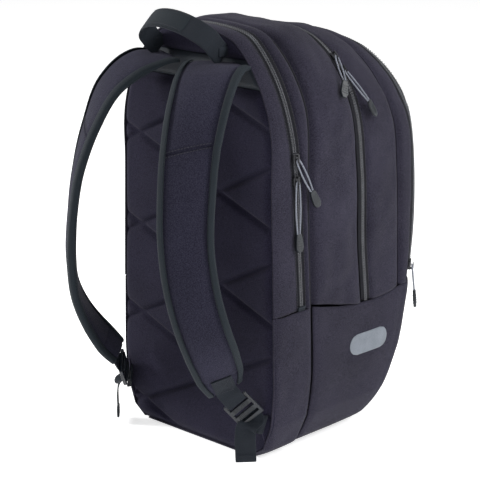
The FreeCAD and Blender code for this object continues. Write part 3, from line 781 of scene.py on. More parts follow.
def build_back():
    """Quilted pad, the smooth strip above it and the plain yoke up to the crown."""
    columns = np.linspace(-1, 1, 150)
    low, high = QUILT_SPAN
    z, t = grid_of(np.linspace(low, high, 250), columns)
    half = side_x(z) - 0.6
    x = t * half
    near_edge = np.minimum(half - np.abs(x), np.minimum(z - low, high - z))
    puff = 1.0
    for slope in QUILT_SLOPES:
        away = quilt_line_distance(x, z, slope)
        puff = puff * (1 - 0.72 * np.exp(-(away / 3.2) ** 2) - 0.28 * np.exp(-(away / 15) ** 2))
    puff = puff * (1 - 0.9 * np.exp(-(near_edge / 6) ** 2))
    y = 3.6 - 6.6 * puff - 0.5 * wrinkles(np.stack([x, np.zeros_like(x), z], axis=-1), 45.0, 21) * puff
    quilt = sheet_of("back_quilt", np.stack([x, y, z], axis=-1), PAD, 6.0, facing(0, -1, 0))
    piece(quilt, "root", ["back_panel_pad"])

    low, high = YOKE_STRIP_SPAN
    z, t = grid_of(np.linspace(low, high, 20), columns)
    half = side_x(z) - 0.6
    edge = np.minimum(half * (1 - np.abs(t)), np.minimum(z - low, high - z))
    y = 2.6 - 2.6 * (1 - np.exp(-(edge / 3.0) ** 2))
    strip = sheet_of("yoke_strip_ribbon", np.stack([t * half, y, z], axis=-1), SMOOTH, 4.0, facing(0, -1, 0))
    piece(strip, "root", ["yoke_strip"])

    v, t = grid_of(np.linspace(0, 1, 34), columns)
    x = t * (side_x(np.array([YOKE_FOOT]))[0] - 0.6)
    top = np.maximum(crown_z(x) - 0.5, YOKE_FOOT + 0.6)
    z = YOKE_FOOT + (top - YOKE_FOOT) * v
    edge = np.minimum(z - YOKE_FOOT, top - z)
    creases = wrinkles(np.stack([x, np.zeros_like(x), z], axis=-1), 35.0, 22)
    y = 2.2 - 3.0 * (1 - np.exp(-(edge / 4.0) ** 2)) - 0.3 * creases
    yoke = sheet_of("yoke_cloth", np.stack([x, y, z], axis=-1), PAD, 3.0, facing(0, -1, 0))
    piece(yoke, "root", ["upper_yoke"])


build_back()


# ------------------------------------------------------------------ inside: walls, sleeve, boards
def flat_wall(name, seam, low, top, inset, node, body, thickness, ahead):
    """Lining wall across the bag at a seam, from side to side."""
    v, t = grid_of(np.linspace(0, 1, 90), np.linspace(-1, 1, 60))
    half = []
    for height in np.linspace(low, top, 90):
        rim = skin(np.full(500, float(seam(np.array(height)))), np.linspace(0.0, 1, 500))
        half.append(np.interp(height, rim[:, 2], rim[:, 0]) - inset)
    half = np.clip(np.array(half), 4, None)[:, None]
    z = low + (top - low) * v
    points = np.stack([t * half, seam(z) + ahead, z], axis=-1)
    points[..., 1] += 1.2 * np.sin(math.pi * v) * wrinkles(points, 90.0, 31)
    piece(sheet_of(name, points, LINING, thickness, facing(0, 1, 0)), body, [node])


BOARD_RADIUS = 0.012


def rounded_board(name, low, high, material, node_slot, node, axis=1, body="root"):
    """Thin board or sleeve with rounded corners, from a low to a high corner in metres."""
    low, high = Vector(low), Vector(high)
    size = high - low
    a, b = grid_of(np.linspace(-1, 1, 40), np.linspace(-1, 1, 40))
    first, second = [i for i in range(3) if i != axis]
    half_a, half_b = size[first] / 2, size[second] / 2
    shrink = 1 - (BOARD_RADIUS / min(half_a, half_b)) * 0.3 * (np.abs(a) ** 6) * (np.abs(b) ** 6)
    points = np.zeros((40, 40, 3))
    points[..., first] = (low[first] + half_a) + a * half_a * shrink
    points[..., second] = (low[second] + half_b) + b * half_b * shrink
    points[..., axis] = high[axis]
    points /= MM
    points[..., 1] -= BACK / MM
    board = sheet_of(name, points, material, size[axis] / MM * 0.9, facing(*np.eye(3)[axis]))
    piece(board, body, [node])


def build_inside():
    """Walls, sleeve, boards and floor that the cloth hides."""
    divider_top = crown_z(np.array([0.0]), 60)[0] - 20
    flat_wall("divider_cloth", DEEP_SEAM, 8, divider_top, 3.5, "rear_divider", "root", 1.6, -1.5)
    flat_wall("pocket_wall_cloth", POCKET_SEAM, 184, 462.0, 4.0, "pocket_inner_wall", "front_section",
              1.4, 1.0)
    rounded_board("sleeve_cloth", *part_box("laptop_sleeve"), LINING, "lining", "laptop_sleeve")
    rounded_board("frame_board", *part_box("frame_sheet"), ACETAL, "board", "frame_sheet")
    rounded_board("base_stiffener", *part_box("base_board"), ACETAL, "board", "base_board", axis=2)
    low, high = (Vector(corner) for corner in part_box("pocket_floor"))
    low += Vector((0.012, 0.001, 0))             # clear of the rounded corners in front
    high -= Vector((0.012, 0.012, 0))
    rounded_board("pocket_floor_cloth", low, high, LINING, "lining", "pocket_floor", axis=2,
                  body="front_section")


build_inside()


# ------------------------------------------------------------------ shoulder straps
# right strap from its top seam down: centre, direction across it, width, thickness
STRAP = [((46, -3, 464), (1, 0, 0), 84, 7), ((52, -20, 463), (1, .1, 0), 82, 9),
         ((61, -40, 455), (.97, .25, 0), 79, 12), ((72, -62, 436), (.93, .38, 0), 74, 12),
         ((82, -87, 388), (.85, .53, 0), 67, 12), ((90, -102, 334), (.78, .63, 0), 64, 12),
         ((95, -108, 280), (.76, .65, .03), 62, 12), ((102, -105, 226), (.76, .65, .08), 62, 12),
         ((107, -95, 184), (.76, .62, .2), 62, 12), ((106, -80, 152), (.72, .58, .36), 61, 12),
         ((99, -60, 120), (.64, .55, .54), 56, 11), ((91, -44, 99), (.54, .55, .64), 44, 9)]


def strap_stations(side, count):
    """Centres, across, face directions, widths, thicknesses and run along the strap, smoothly in between."""
    centre, across = (np.array([row[i] for row in STRAP], float) for i in (0, 1))
    run = run_of(centre)
    fine = np.linspace(0, run[-1], count)
    centre = smooth_rows(fine, run, centre)
    across = read_rows(fine, run, across)
    width, thick = read_rows(fine, run, np.array([row[2:] for row in STRAP], float)).T
    kernel = np.ones(7) / 7
    for i in range(3):
        across[:, i] = np.convolve(np.pad(across[:, i], 3, mode="edge"), kernel, mode="valid")
    tangent = unit(np.gradient(centre, fine, axis=0))
    across = square_to(across, tangent)
    face = np.cross(across, tangent)
    face *= np.where(face[:, 1:2].mean() > 0, -1, 1)
    flip = np.array([side, 1, 1])
    return centre * flip, across * flip, face * flip, width, thick, fine


def tube_between(name, outer, material):
    """Closed tube from rings of points (rows, ring, 3)."""
    rows, cols = outer.shape[:2]
    along = np.broadcast_to(run_of(outer.mean(axis=1))[:, None], (rows, cols))
    around = np.zeros((rows, cols))
    around[:, 1:] = np.cumsum(np.linalg.norm(np.diff(outer, axis=1), axis=-1), axis=1)
    faces = [list(f) for f in grid_faces(rows, cols, True)]
    faces += [list(range(cols))[::-1], list(range((rows - 1) * cols, rows * cols))]
    uv = np.stack([along, around], axis=-1).reshape(-1, 2) * MM
    obj = finish_mesh(name, to_frame(outer.reshape(-1, 3)), faces, material, uv)
    fix_normals(obj)
    return obj


CROSS_SEAM_PLACE, CROSS_SEAM_SLANT = 0.30, 10.0
# section of the tape folded over an edge: (distance past the edge, share of the strap's thickness)
BINDING_FOLD = [(-6.6, 0.42), (-5.0, 0.40), (-3.0, 0.33), (-1.2, 0.26), (0.0, 0.14), (0.35, 0.0),
                (0.0, -0.14), (-1.2, -0.26), (-3.0, -0.33), (-5.0, -0.40), (-6.6, -0.42)]


def strap_crown(a):
    """Share of the pad's full thickness at a place across it, -1 to 1."""
    return 0.30 + 0.70 * (1 - np.abs(a) ** 3.2)


def build_strap(side):
    """Padded strap with its cross seams, stitches and the tape bound over its edges."""
    name = side_name(side)
    centre, across, face, width, thick, run = strap_stations(side, 170)
    total = run[-1]
    cross_seam = CROSS_SEAM_PLACE * total
    angle = np.linspace(0, 2 * math.pi, 64, endpoint=False)
    a = np.sign(np.cos(angle)) * np.abs(np.cos(angle)) ** 0.55
    b = np.sign(np.sin(angle)) * np.abs(np.sin(angle)) ** 0.75
    bulge = strap_crown(a)
    inside = 0.5 * width[:, None] - 2.0
    depth = b[None, :] * bulge[None, :] * (thick[:, None] / 2) * 1.02
    groove = 2.4 * np.exp(-((run[:, None] - (cross_seam - CROSS_SEAM_SLANT * a[None, :])) / 1.5) ** 2)
    low_seam = 1.4 * np.exp(-((run[:, None] - (total - 26)) / 1.6) ** 2)
    edge_groove = 0.9 * np.exp(-((np.abs(a[None, :]) * inside - (inside - 6.5)) / 1.2) ** 2)
    shrink = np.where(np.abs(b[None, :]) > 0.15, groove + low_seam + edge_groove, 0)
    depth = depth - np.sign(b)[None, :] * shrink
    soft = np.array([[noise.noise(Vector((r / 60.0, c * 2.2, 5.0 + side))) for c in a] for r in run])
    depth = depth + np.sign(b)[None, :] * soft * 0.7
    points = (centre[:, None] + across[:, None] * (a[None, :] * inside)[..., None]
              + face[:, None] * depth[..., None])
    pad = tube_between("strap_pad_cloth_" + name, points, STRAP_CLOTH)
    blend = ("root", "shoulder_strap_" + name, (0, -0.082, 0), (0, -0.100, 0))
    piece(pad, None, ["strap_pad_" + name], blend)

    s = np.linspace(-0.86, 0.86, 60)
    for index, ahead in enumerate((-2.6, 2.6)):
        at = cross_seam - CROSS_SEAM_SLANT * s + ahead
        middle, sideways, out = (read_rows(at, run, table) for table in (centre, across, face))
        reach = np.interp(at, run, width) * 0.5 - 2.0
        rise = np.interp(at, run, thick) * 0.51 * strap_crown(s) + 0.15
        path = middle + sideways * (s * reach)[:, None] + out * rise[:, None]
        stitches("strap_stitch_%s_%d" % (name, index), path, out, "shoulder_strap_" + name)

    inward, up_share = np.array(BINDING_FOLD).T
    for edge, tag in ((1, "outer"), (-1, "inner")):
        out = inward[None, :] + 0.5 * width[:, None]
        up = up_share[None, :] * thick[:, None] + np.sign(up_share)[None, :] * 0.45
        stitch = 0.35 * np.cos(2 * math.pi * run[:, None] / 3.2) * np.exp(-((inward + 5.0) / 0.8) ** 2)
        up = up - np.sign(up_share)[None, :] * np.abs(stitch)
        outer = centre[:, None] + across[:, None] * (edge * out)[..., None] + face[:, None] * up[..., None]
        inner = (centre[:, None] + across[:, None] * (edge * (out - 0.7))[..., None]
                 + face[:, None] * (up * 0.72)[..., None])
        loop = np.concatenate([outer, inner[:, ::-1]], axis=1)
        band = tube_between("strap_binding_tape_" + name + "_" + tag, loop, BINDING)
        piece(band, None, ["strap_binding_" + name], blend)


# ------------------------------------------------------------------ small hard parts and stitches
class Axes:
    """Local frame in millimetres: origin and three unit axes."""

    def __init__(self, origin, x, y, z):
        self.origin = np.array(origin, float)
        self.matrix = np.stack([np.array(v, float) / np.linalg.norm(v) for v in (x, y, z)])

    def world(self, points):
        return self.origin + np.asarray(points, float) @ self.matrix


def rounded_prism(axes, outline, low, high, bevel, segments=3):
    """Vertices and faces of a bevelled prism on an outline in the local XY plane, from low to high in Z."""
    work = bmesh.new()
    ring = [work.verts.new((x, y, low)) for x, y in outline]
    face = work.faces.new(ring)
    grown = bmesh.ops.extrude_face_region(work, geom=[face])
    moved = [v for v in grown["geom"] if isinstance(v, bmesh.types.BMVert)]
    bmesh.ops.translate(work, verts=moved, vec=(0, 0, high - low))
    if bevel:
        bmesh.ops.bevel(work, geom=list(work.edges), offset=bevel, segments=segments, profile=0.5,
                        affect="EDGES", clamp_overlap=True)
    bmesh.ops.recalc_face_normals(work, faces=work.faces)
    work.verts.index_update()
    vertices = axes.world([tuple(v.co) for v in work.verts])
    faces = [[v.index for v in f.verts] for f in work.faces]
    work.free()
    return vertices, faces


def joined(name, parts, material, smooth=False):
    vertices, faces, count = [], [], 0
    for part_vertices, part_faces in parts:
        vertices.append(part_vertices)
        faces += [[i + count for i in f] for f in part_faces]
        count += len(part_vertices)
    points = np.concatenate(vertices)
    uv = points[:, [0, 2]] * MM
    obj = finish_mesh(name, to_frame(points), faces, material, uv, smooth)
    fix_normals(obj)
    return obj


def box_outline(x0, x1, y0, y1):
    return [(x0, y0), (x1, y0), (x1, y1), (x0, y1)]


def ribbon(name, points, across, width, thick, material, hem=0.0):
    """Webbing along a path: a closed, slightly rounded strap; hem thickens that much of its last end."""
    points = np.asarray(points, float)
    across = np.broadcast_to(np.asarray(across, float), points.shape)
    run = run_of(points)
    fine = np.linspace(0, run[-1], max(24, int(run[-1] / 1.2)))
    middle = smooth_rows(fine, run, points)
    tangent = unit(np.gradient(middle, fine, axis=0))
    wide = square_to(read_rows(fine, run, across), tangent)
    face = np.cross(wide, tangent)
    angle = np.linspace(0, 2 * math.pi, 28, endpoint=False)
    a = np.sign(np.cos(angle)) * np.abs(np.cos(angle)) ** 0.35
    b = np.sign(np.sin(angle)) * np.abs(np.sin(angle)) ** 0.5
    grow = np.where(fine > run[-1] - hem, 1.9, 1.0)[:, None] if hem else 1.0
    loop = (middle[:, None] + wide[:, None] * (a * width / 2)[None, :, None]
            + face[:, None] * (b[None, :] * thick / 2 * grow)[..., None])
    return tube_between(name, loop, material)


STITCH_FACES = ((0, 1, 3, 2), (2, 3, 5, 4), (4, 5, 7, 6), (0, 2, 4, 6), (1, 7, 5, 3), (0, 6, 7, 1))


def stitches(name, path, normal, body, pitch=3.6, dash=2.5, wide=0.55, blend=None):
    """Row of stitches standing a little proud of a surface, along a path in millimetres."""
    path = np.asarray(path, float)
    normal = np.broadcast_to(np.asarray(normal, float), path.shape)
    run = run_of(path)
    vertices, faces = [], []
    for start in np.arange(0.8, run[-1] - dash, pitch):
        first, last = read_rows(np.array([start, start + dash]), run, path)
        up = unit(read_rows(np.array([start]), run, normal)[0])
        along = last - first
        along /= np.linalg.norm(along) + 1e-9
        side = np.cross(along, up) * wide / 2
        base = len(vertices)
        slope = along * 0.6
        for end, rise in ((first, -0.15), (first + slope, 0.3), (last - slope, 0.3), (last, -0.15)):
            vertices += [end + side + up * rise, end - side + up * rise]
        faces += [[base + corner for corner in face] for face in STITCH_FACES]
    points = np.array(vertices)
    obj = finish_mesh(name, to_frame(points), faces, THREAD, points[:, [0, 2]] * MM, False)
    return piece(obj, body, [], blend)


# ------------------------------------------------------------------ lower ends of the straps
LOCK_CENTRE = np.array([102.6, -25.0, 71.0])
LOCK_ACROSS = unit(np.array([.52, .55, .65]))
LOCK_ALONG = square_to(np.array([.36, .55, -.75]), LOCK_ACROSS)
LOCK_FACE = -np.cross(LOCK_ACROSS, LOCK_ALONG)


WEB_WIDTH, SEWN_RUN = 25, 30                   # of the webbing, and of its part sewn to the pad


def build_lock(name, axes, lock):
    """Ladder lock: two rails, four bars and the ridges that grip the webbing."""
    parts = []
    for edge in (-1, 1):
        x0, x1 = sorted((edge * 13.1, edge * 16.5))
        parts.append(rounded_prism(axes, box_outline(x0, x1, -17, 17), -2.2, 2.2, 0.9))
    for low, high, lift in ((-17, -11.8, 0.0), (-8.2, -1.8, 0.9), (1.8, 8.2, 0.9), (11.8, 17, 0.0)):
        parts.append(rounded_prism(axes, box_outline(-14.5, 14.5, low, high), -1.9, 1.9 + lift, 1.0))
    for row in (-5, 5):
        for ridge in (-1.6, 0, 1.6):
            outline = box_outline(-11, 11, row + ridge - 0.3, row + ridge + 0.3)
            parts.append(rounded_prism(axes, outline, 2.4, 3.15, 0.2, 1))
    piece(joined("lock_" + name + "_body", parts, ACETAL), lock, ["ladder_lock_" + name])


def build_strap_end(side):
    """Ladder lock, the webbing on both sides of it, the free tail and the fabric wing."""
    name = side_name(side)
    strap, lock, tail = "shoulder_strap_" + name, "lock_" + name, "tail_" + name
    flip = np.array([side, 1, 1])
    lock_across = LOCK_ACROSS * flip
    axes = Axes(LOCK_CENTRE * flip, lock_across, LOCK_ALONG * flip, LOCK_FACE * flip)
    build_lock(name, axes, lock)

    # webbing sewn to the pad's end and looped through the lock's first slot
    centre, across, face, _, thick, run = strap_stations(side, 120)
    picks = np.flatnonzero(run > run[-1] - SEWN_RUN)
    on_face = centre[picks] + face[picks] * (thick[picks] / 2 + 0.9)[:, None]
    top_bar = axes.world([(0, -14.4, 3.0), (0, -11.4, 2.2), (0, -10.3, -0.6), (0, -12.0, -3.0),
                          (0, -15.5, -3.3)])
    between = on_face[-1] * 0.45 + top_bar[0] * 0.55 + axes.matrix[2] * 0.8
    wide = np.concatenate([across[picks][::4], [lock_across] * 6])
    loop = ribbon("strap_end_webbing_" + name, np.concatenate([on_face[::4], [between], top_bar]), wide,
                  WEB_WIDTH, 1.7, WEBBING)
    piece(loop, strap, ["strap_webbing_" + name])
    sideways, up = across[picks[0]], face[picks[0]]

    def spot(s, r):
        """Point on the sewn webbing: s across it from -1 to 1, r along it from 0 to 1."""
        base = read_rows(np.array([r * (len(picks) - 1)]), np.arange(len(picks)), on_face)[0]
        return base + sideways * s * 9.5 + up

    low, high = .06, .94
    corners = [(-1, low), (1, low), (1, high), (-1, high), (-1, low)]
    lines = [(a, b, 14) for a, b in zip(corners[:-1], corners[1:])]
    lines += [((-1, low), (1, high), 16), ((1, low), (-1, high), 16)]
    for i, (a, b, count) in enumerate(lines):
        line = [spot(a[0] + (b[0] - a[0]) * t, a[1] + (b[1] - a[1]) * t) for t in np.linspace(0, 1, count)]
        stitches("box_stitch_%s_%d" % (name, i), line, up, strap, 2.2, 1.6, 0.6)

    # webbing from the wing up to the lock, then the free tail
    wing_tip = np.array([114.5, -6.5, 50.0]) * flip
    inner = axes.world([(0, 23.0, -6.0), (0, 19.5, -6.8), (0, 16, -7.0)])
    path = np.concatenate([[wing_tip + np.array([2.0 * side, 3.5, -1])], [wing_tip], inner])
    wide = np.concatenate([[[.40 * side, .45, .8]] * 2, [lock_across] * 3])
    anchor = ribbon("anchor_strap_" + name, path, wide, WEB_WIDTH - 0.5, 1.6, WEBBING)
    piece(anchor, None, ["anchor_webbing_" + name],
          ("root", strap, to_frame(wing_tip), to_frame(inner[0])))
    hang = np.array([(109.2, -27.5, 49), (109.4, -29.3, 40), (109.8, -29.0, 24), (110, -28.4, 8.8)]) * flip
    start = axes.world([(0, 6.0, -3.4), (0, 13.0, -3.0), (0, 19.0, 0.6)])
    wide = np.concatenate([[lock_across] * 2, [[.66 * side, .65, .35]], [[.72 * side, .695, 0]] * 4])
    path = np.concatenate([start, hang])
    free = ribbon("tail_strap_" + name, path, wide, WEB_WIDTH - 0.5, 1.7, WEBBING, 9.0)
    piece(free, None, ["webbing_tail_" + name],
          (lock, tail, to_frame(start[2]), to_frame(hang[1])))

    # fabric wing between the panel's side seam and the anchor webbing
    v, t = (values[..., None] for values in grid_of(np.linspace(0, 1, 22), np.linspace(0, 1, 14)))
    seam = np.array([124.0, 1.0, 104.0]) * (1 - v) + np.array([112.5, 1.0, 24.0]) * v
    web = np.array([112.5, -5.0, 64.0]) * (1 - v) + np.array([114.8, -4.5, 42.0]) * v
    points = (seam * (1 - t) + web * t) * flip
    points[..., 1] -= 1.4 * np.sin(math.pi * t[..., 0]) * np.sin(math.pi * v[..., 0])
    wing = sheet_of("wing_cloth_" + name, points, PAD, 2.4, facing(0, -1, 0))
    piece(wing, "root", ["strap_wing_" + name])


for hand in (1, -1):
    build_strap(hand)
    build_strap_end(hand)


# ------------------------------------------------------------------ carry handle
HANDLE_CROWN = (0, 59.5)                       # top of the loop, in its own leaning plane


def build_handle():
    """Haul loop with a second layer on its grip, and the two sewn tabs that it comes out of."""
    lean = math.radians(42)
    axes = Axes((0, -6, 472), (1, 0, 0), (0, -math.sin(lean), math.cos(lean)),
                (0, math.cos(lean), math.sin(lean)))
    leg = [(51, 2), (52, 8), (52.6, 14), (52.5, 22), (52.3, 29)]
    bow = arc_points((52.5, 31), HANDLE_CROWN, (-52.5, 31), 19)
    outline = leg + [tuple(p) for p in bow[1:-1]] + [(-x, h) for x, h in leg[::-1]]
    local = np.array([(x, h, 0.0) for x, h in outline])
    path = axes.world(local)
    path[:, 1] += np.clip((14 - local[:, 1]) / 14, 0, 1) * 3.0       # the ends sink into the seam
    handle = ribbon("handle_webbing", path, axes.matrix[2], 27.0, 2.8, WEBBING)
    start, end = to_frame(axes.world([(0, 4, 0)])[0]), to_frame(axes.world([(0, 26, 0)])[0])
    piece(handle, None, ["haul_handle"], ("root", "carry_handle", start, end))
    grip = axes.world([(x, h + 2.0, 0.0) for x, h in arc_points((30, 50.6), HANDLE_CROWN, (-30, 50.6), 15)])
    piece(ribbon("handle_grip", grip, axes.matrix[2], 24.0, 2.2, BINDING), "carry_handle")
    for index, offset in enumerate((-10.5, 10.5)):
        row = arc_points((29, 51.2), HANDLE_CROWN, (-29, 51.2), 15)
        lift = axes.world([(x, h + 3.4, offset) for x, h in row])
        stitches("grip_stitch_%d" % index, lift, axes.matrix[1], "carry_handle", 3.0, 2.1)
    tabs = []
    for sign in (-1, 1):
        local = Axes((sign * 52.5, -7.5, 478), (1, 0, 0), (0, 1, 0), (0, 0, 1))
        tabs.append(rounded_prism(local, box_outline(-2.6, 2.6, -7.4, 7.0), -4, 7, 1.2))
    piece(joined("handle_tabs", tabs, WEBBING, True), "root", ["handle_anchors"])


build_handle()


# ------------------------------------------------------------------ zip sliders and pulls
# name, where the cord turns, the way it and its tip hang, the way out of the cloth, the zip's way, its loop
PULLS = [("rear_lower", (129.4, 35.6, 335), (.03, 0, -1), (.03, .08, -1), (.99, -.13, .02), (.017, .054, -1),
          "long"),
         ("rear_upper", (130.9, 33.2, 361), (.09, .53, -1), (.09, .5, -1), (.99, -.11, 0), (.017, .054, -1),
          "medium"),
         ("main_front", (107, 140.4, 446), (.56, .31, -.77), (.12, .5, -.86), (.79, .12, .60), (.61, 0, -.79),
          "medium"),
         ("main_back", (93.1, 140.4, 461.4), (.71, -.48, -.51), (.38, -.5, -.75), (.68, .13, .72),
          (.73, 0, -.69), "medium"),
         ("pocket", (128.8, 247.8, 193), (.12, .02, -1), (.1, 0, -1), (.81, .58, -.05), (.026, .056, 1),
          "short")]
# one leg of each cord loop, from its tip up: (offset to one side, height above the tip)
LOOPS = {"short": [(-1.5, 0), (-2.6, 7.5), (-3.2, 15.5), (-3.0, 22.5), (-2.6, 28.5), (-1.6, 33)],
         "medium": [(-1.5, 0), (-2.7, 9), (-3.3, 19), (-3.2, 28), (-2.9, 36), (-2.4, 41), (-1.6, 44.5)],
         "long": [(-1.5, 0), (-2.7, 11), (-3.4, 23), (-3.5, 34.5), (-3.2, 45), (-2.8, 52.5), (-2.3, 57.5),
                  (-1.6, 60.8)]}


def pull_axes(hang, out):
    """Unit directions down a pull, out of the cloth and across."""
    down = unit(np.array(hang, float))
    normal = square_to(np.array(out, float), down)
    return down, normal, np.cross(down, normal)


def build_slider(name, ring, out, run):
    """Plate over the teeth, its two rims, and the post and bridge that hold the cord."""
    along, normal, across = pull_axes(run, out)
    axes = Axes(ring, across, along, normal)
    plate = [(-3.0, -7), (3.0, -7), (4.5, -4.2), (4.5, 3.2), (2.8, 7), (-2.8, 7), (-4.5, 3.2), (-4.5, -4.2)]
    parts = [rounded_prism(axes, plate, -2.9, -1.3, 0.5),
             rounded_prism(axes, box_outline(-1.0, 1.0, -6.5, -4.0), -1.6, 2.1, 0.45),
             rounded_prism(axes, box_outline(-0.95, 0.95, -6.3, 3.0), 1.25, 2.25, 0.4)]
    for edge in (-1, 1):
        rim = box_outline(*sorted((edge * 3.7, edge * 4.6)), -4.0, 3.0)
        parts.append(rounded_prism(axes, rim, -4.0, -1.5, 0.3))
    slider = joined(name + "_slider_body", parts, ENAMEL)
    piece(slider, name + "_zip_slider", [name + "_slider"])


def build_pull(name, ring, hang, tip_hang, out, loop):
    """Cord loop hung on the slider, and the moulded tip that holds its two ends."""
    down, _, across = pull_axes(hang, out)
    leg = LOOPS[loop]
    route = leg + [(-s, rise) for s, rise in reversed(leg)]
    origin = np.array(ring, float) + down * leg[-1][1]
    points = to_frame(np.array([origin + across * s - down * rise for s, rise in route]))
    data = bpy.data.curves.new(name + "_cord", "CURVE")
    data.dimensions = "3D"
    data.resolution_u = 8
    data.bevel_depth = 0.001
    data.bevel_resolution = 3
    spline = data.splines.new("NURBS")
    spline.points.add(len(points) - 1)
    for target, point in zip(spline.points, points):
        target.co = (*point, 1)
    spline.order_u = 3
    spline.use_endpoint_u = True
    cord = bpy.data.objects.new(name + "_cord", data)
    bpy.context.scene.collection.objects.link(cord)
    data.materials.append(CORD)
    body = name + "_pull"
    piece(cord, body, [name + "_pull_cord"])
    tip_down, tip_normal, tip_across = pull_axes(tip_hang, out)
    axes = Axes(origin + down * 0.8, tip_across, tip_down, tip_normal)
    shield = [(-3.4, -1.2), (3.4, -1.2), (4.4, 4), (5.5, 15.5), (2.8, 20.8), (-2.8, 20.8), (-5.5, 15.5),
              (-4.4, 4)]
    parts = [rounded_prism(axes, shield, -1.9, 1.9, 1.1, 4)]
    for rise in (6.0, 9.0, 12.0, 15.0):
        wide = 2.6 + 0.09 * rise
        for face in (-1, 1):
            low, high = sorted((face * 1.7, face * 2.35))
            outline = box_outline(-wide, wide, rise - 0.55, rise + 0.55)
            parts.append(rounded_prism(axes, outline, low, high, 0.25, 2))
    tip = piece(joined(name + "_tip", parts, RUBBER), body, [name + "_pull_tip"])


for pull_name, ring, hang, tip_hang, out, run, loop in PULLS:
    build_slider(pull_name, ring, out, run)
    build_pull(pull_name, ring, hang, tip_hang, out, loop)


# ------------------------------------------------------------------ zip end tabs, stitches, reflective pills
def surface_line(line, offset, start, stop, rows, rise):
    """Line on the skin beside a seam, lifted by rise, with its outward normals."""
    along = np.linspace(0, 1, rows)
    points, depth = settle(lambda height: line(height) + offset, start, stop, along)
    beside = skin(depth + 1.5, start(depth) + along * (stop(depth) - start(depth)))
    normal = unit(np.cross(np.gradient(points, axis=0), beside - points))
    normal *= np.sign(np.sum(normal * from_middle(points), axis=1).mean())
    return points + normal * rise, normal


def build_trim():
    """Stitches beside the zips, and a tab over each lower end of the rear zip."""
    for key, (line, start, stop) in ZIP_LINES.items():
        for tag, sign, (body, _, bend) in zip(("low", "high"), (-1, 1), ZIP_HALVES[key]):
            if (key, tag) == ("main", "low"):
                continue                         # left without stitches
            path, normal = surface_line(line, sign * (ZIP_GAP + 2.4), start, stop, 700, 0.55)
            stitches("%s_stitch_%s" % (key, tag), path, normal, body, blend=bend)
    for sign in (1, -1):
        depth = float(REAR_ZIP(184.0))
        base = np.array([sign * float(side_x(np.array([184.0]), depth)[0]), depth, 180.5])
        axes = Axes(base, (0, 1, 0), (0, 0, 1), (sign, 0, 0))
        tab = rounded_prism(axes, box_outline(-6.0, 6.0, -7, 5), -1.2, 1.5, 0.8)
        fold = rounded_prism(axes, box_outline(-6.0, 6.0, 2.4, 5.2), 0.8, 2.1, 0.5)
        piece(joined("rear_zip_end_" + side_name(sign), [tab, fold], WEBBING, True), "root")


build_trim()


PILL_CENTRE, PILL_HALF_LENGTH, PILL_HALF_HEIGHT = (163, 115), 34.0, 13.0


def build_pills():
    """Plain reflective pill on each side of the boot."""
    boot = bpy.data.objects["boot_cloth"]
    count = len(boot.data.vertices)
    flat = np.empty(count * 3)
    boot.data.vertices.foreach_get("co", flat)
    cloud = flat.reshape(-1, 3)[:count // 2]     # the outer face
    v, t = grid_of(np.linspace(-1, 1, 17), np.linspace(-1, 1, 60))
    z = PILL_CENTRE[1] + v * PILL_HALF_HEIGHT
    reach = PILL_HALF_LENGTH - PILL_HALF_HEIGHT + PILL_HALF_HEIGHT * np.sqrt(np.clip(1 - v ** 2, 0, 1))
    y = PILL_CENTRE[0] + t * reach
    for sign in (1, -1):
        side = cloud[cloud[:, 0] * sign > 0.09]
        target = np.stack([y * MM + BACK, z * MM], axis=-1).reshape(-1, 2)
        gap = ((target[:, None] - side[None, :, 1:]) ** 2).sum(-1)
        order = np.argsort(gap, axis=1)[:, :6]
        weight = 1 / (np.take_along_axis(gap, order, 1) + 1e-7)
        x = (side[order, 0] * weight).sum(1) / weight.sum(1)
        x = x.reshape(z.shape) / MM + sign * (0.75 - 0.35 * np.maximum(np.abs(v), np.abs(t)) ** 8)
        obj = sheet_of("pill_" + side_name(sign), np.stack([x, y, z], axis=-1), FILM, 0.6)
        piece(obj, "root", ["reflective_patches"])


build_pills()


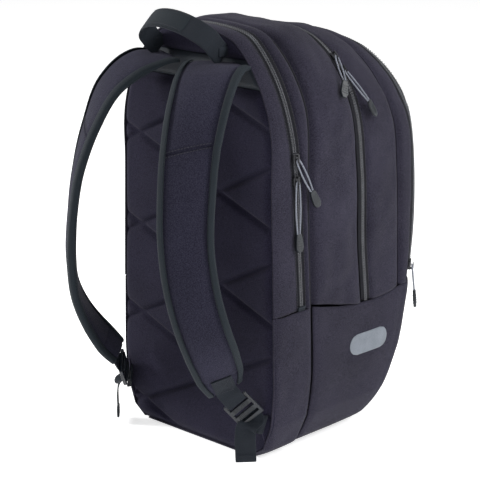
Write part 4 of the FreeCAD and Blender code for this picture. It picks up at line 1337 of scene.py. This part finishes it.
# ------------------------------------------------------------------ room, lights and camera
def build_room():
    floor_material, nodes, links, shader = new_material("floor")
    solid = nodes.new("ShaderNodeTexCoord").outputs["Object"]
    cloud = noise_node(nodes, links, solid, 3.0)
    colour = ramp_between(nodes, links, cloud, (0.86, 0.86, 0.86), (0.88, 0.88, 0.88))
    links.new(colour, shader.inputs["Base Color"])
    shader.inputs["Roughness"].default_value = 0.9
    shader.inputs["Emission Color"].default_value = (1, 1, 1, 1)
    shader.inputs["Emission Strength"].default_value = 0.62
    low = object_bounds()[0][2]
    bpy.ops.mesh.primitive_plane_add(size=30, location=(0, 0, low))
    floor = bpy.context.object
    floor.name = "floor"
    floor.data.materials.append(floor_material)
    for name, place, size, power, aim in (
            ("key", (2.1, 1.2, 1.6), 1.1, 52, (0, 0.05, 0.25)),
            ("back_key", (-2.1, -1.5, 1.4), 0.7, 66, (0, 0, 0.25)),
            ("top", (0.0, 0.4, 2.6), 2.2, 26, (0, 0.05, 0.3)),
            ("side", (1.6, -1.5, 1.6), 1.6, 6, (0.1, 0.0, 0.25))):
        data = bpy.data.lights.new(name, "AREA")
        data.energy = power
        data.size = size
        lamp = bpy.data.objects.new(name, data)
        lamp.location = place
        lamp.rotation_euler = (Vector(aim) - Vector(place)).to_track_quat("-Z", "Y").to_euler()
        bpy.context.scene.collection.objects.link(lamp)
    world = bpy.data.worlds.new("studio")
    bpy.context.scene.world = world
    world.use_nodes = True
    world.node_tree.nodes["Background"].inputs["Color"].default_value = (1, 1, 1, 1)
    world.node_tree.nodes["Background"].inputs["Strength"].default_value = 0.27
    bpy.context.scene.view_settings.view_transform = "Standard"


def build_camera():
    data = bpy.data.cameras.new("photo_camera")
    data.lens = 131.25
    data.sensor_width = 36
    data.clip_end = 50
    camera = bpy.data.objects.new("photo_camera", data)
    camera.location = (1.4147, -1.4695, 0.8098)
    target = Vector((-0.0479, 0.045, 0.2141))
    camera.rotation_euler = (target - camera.location).to_track_quat("-Z", "Y").to_euler()
    bpy.context.scene.collection.objects.link(camera)
    bpy.context.scene.camera = camera


build_room()
build_camera()
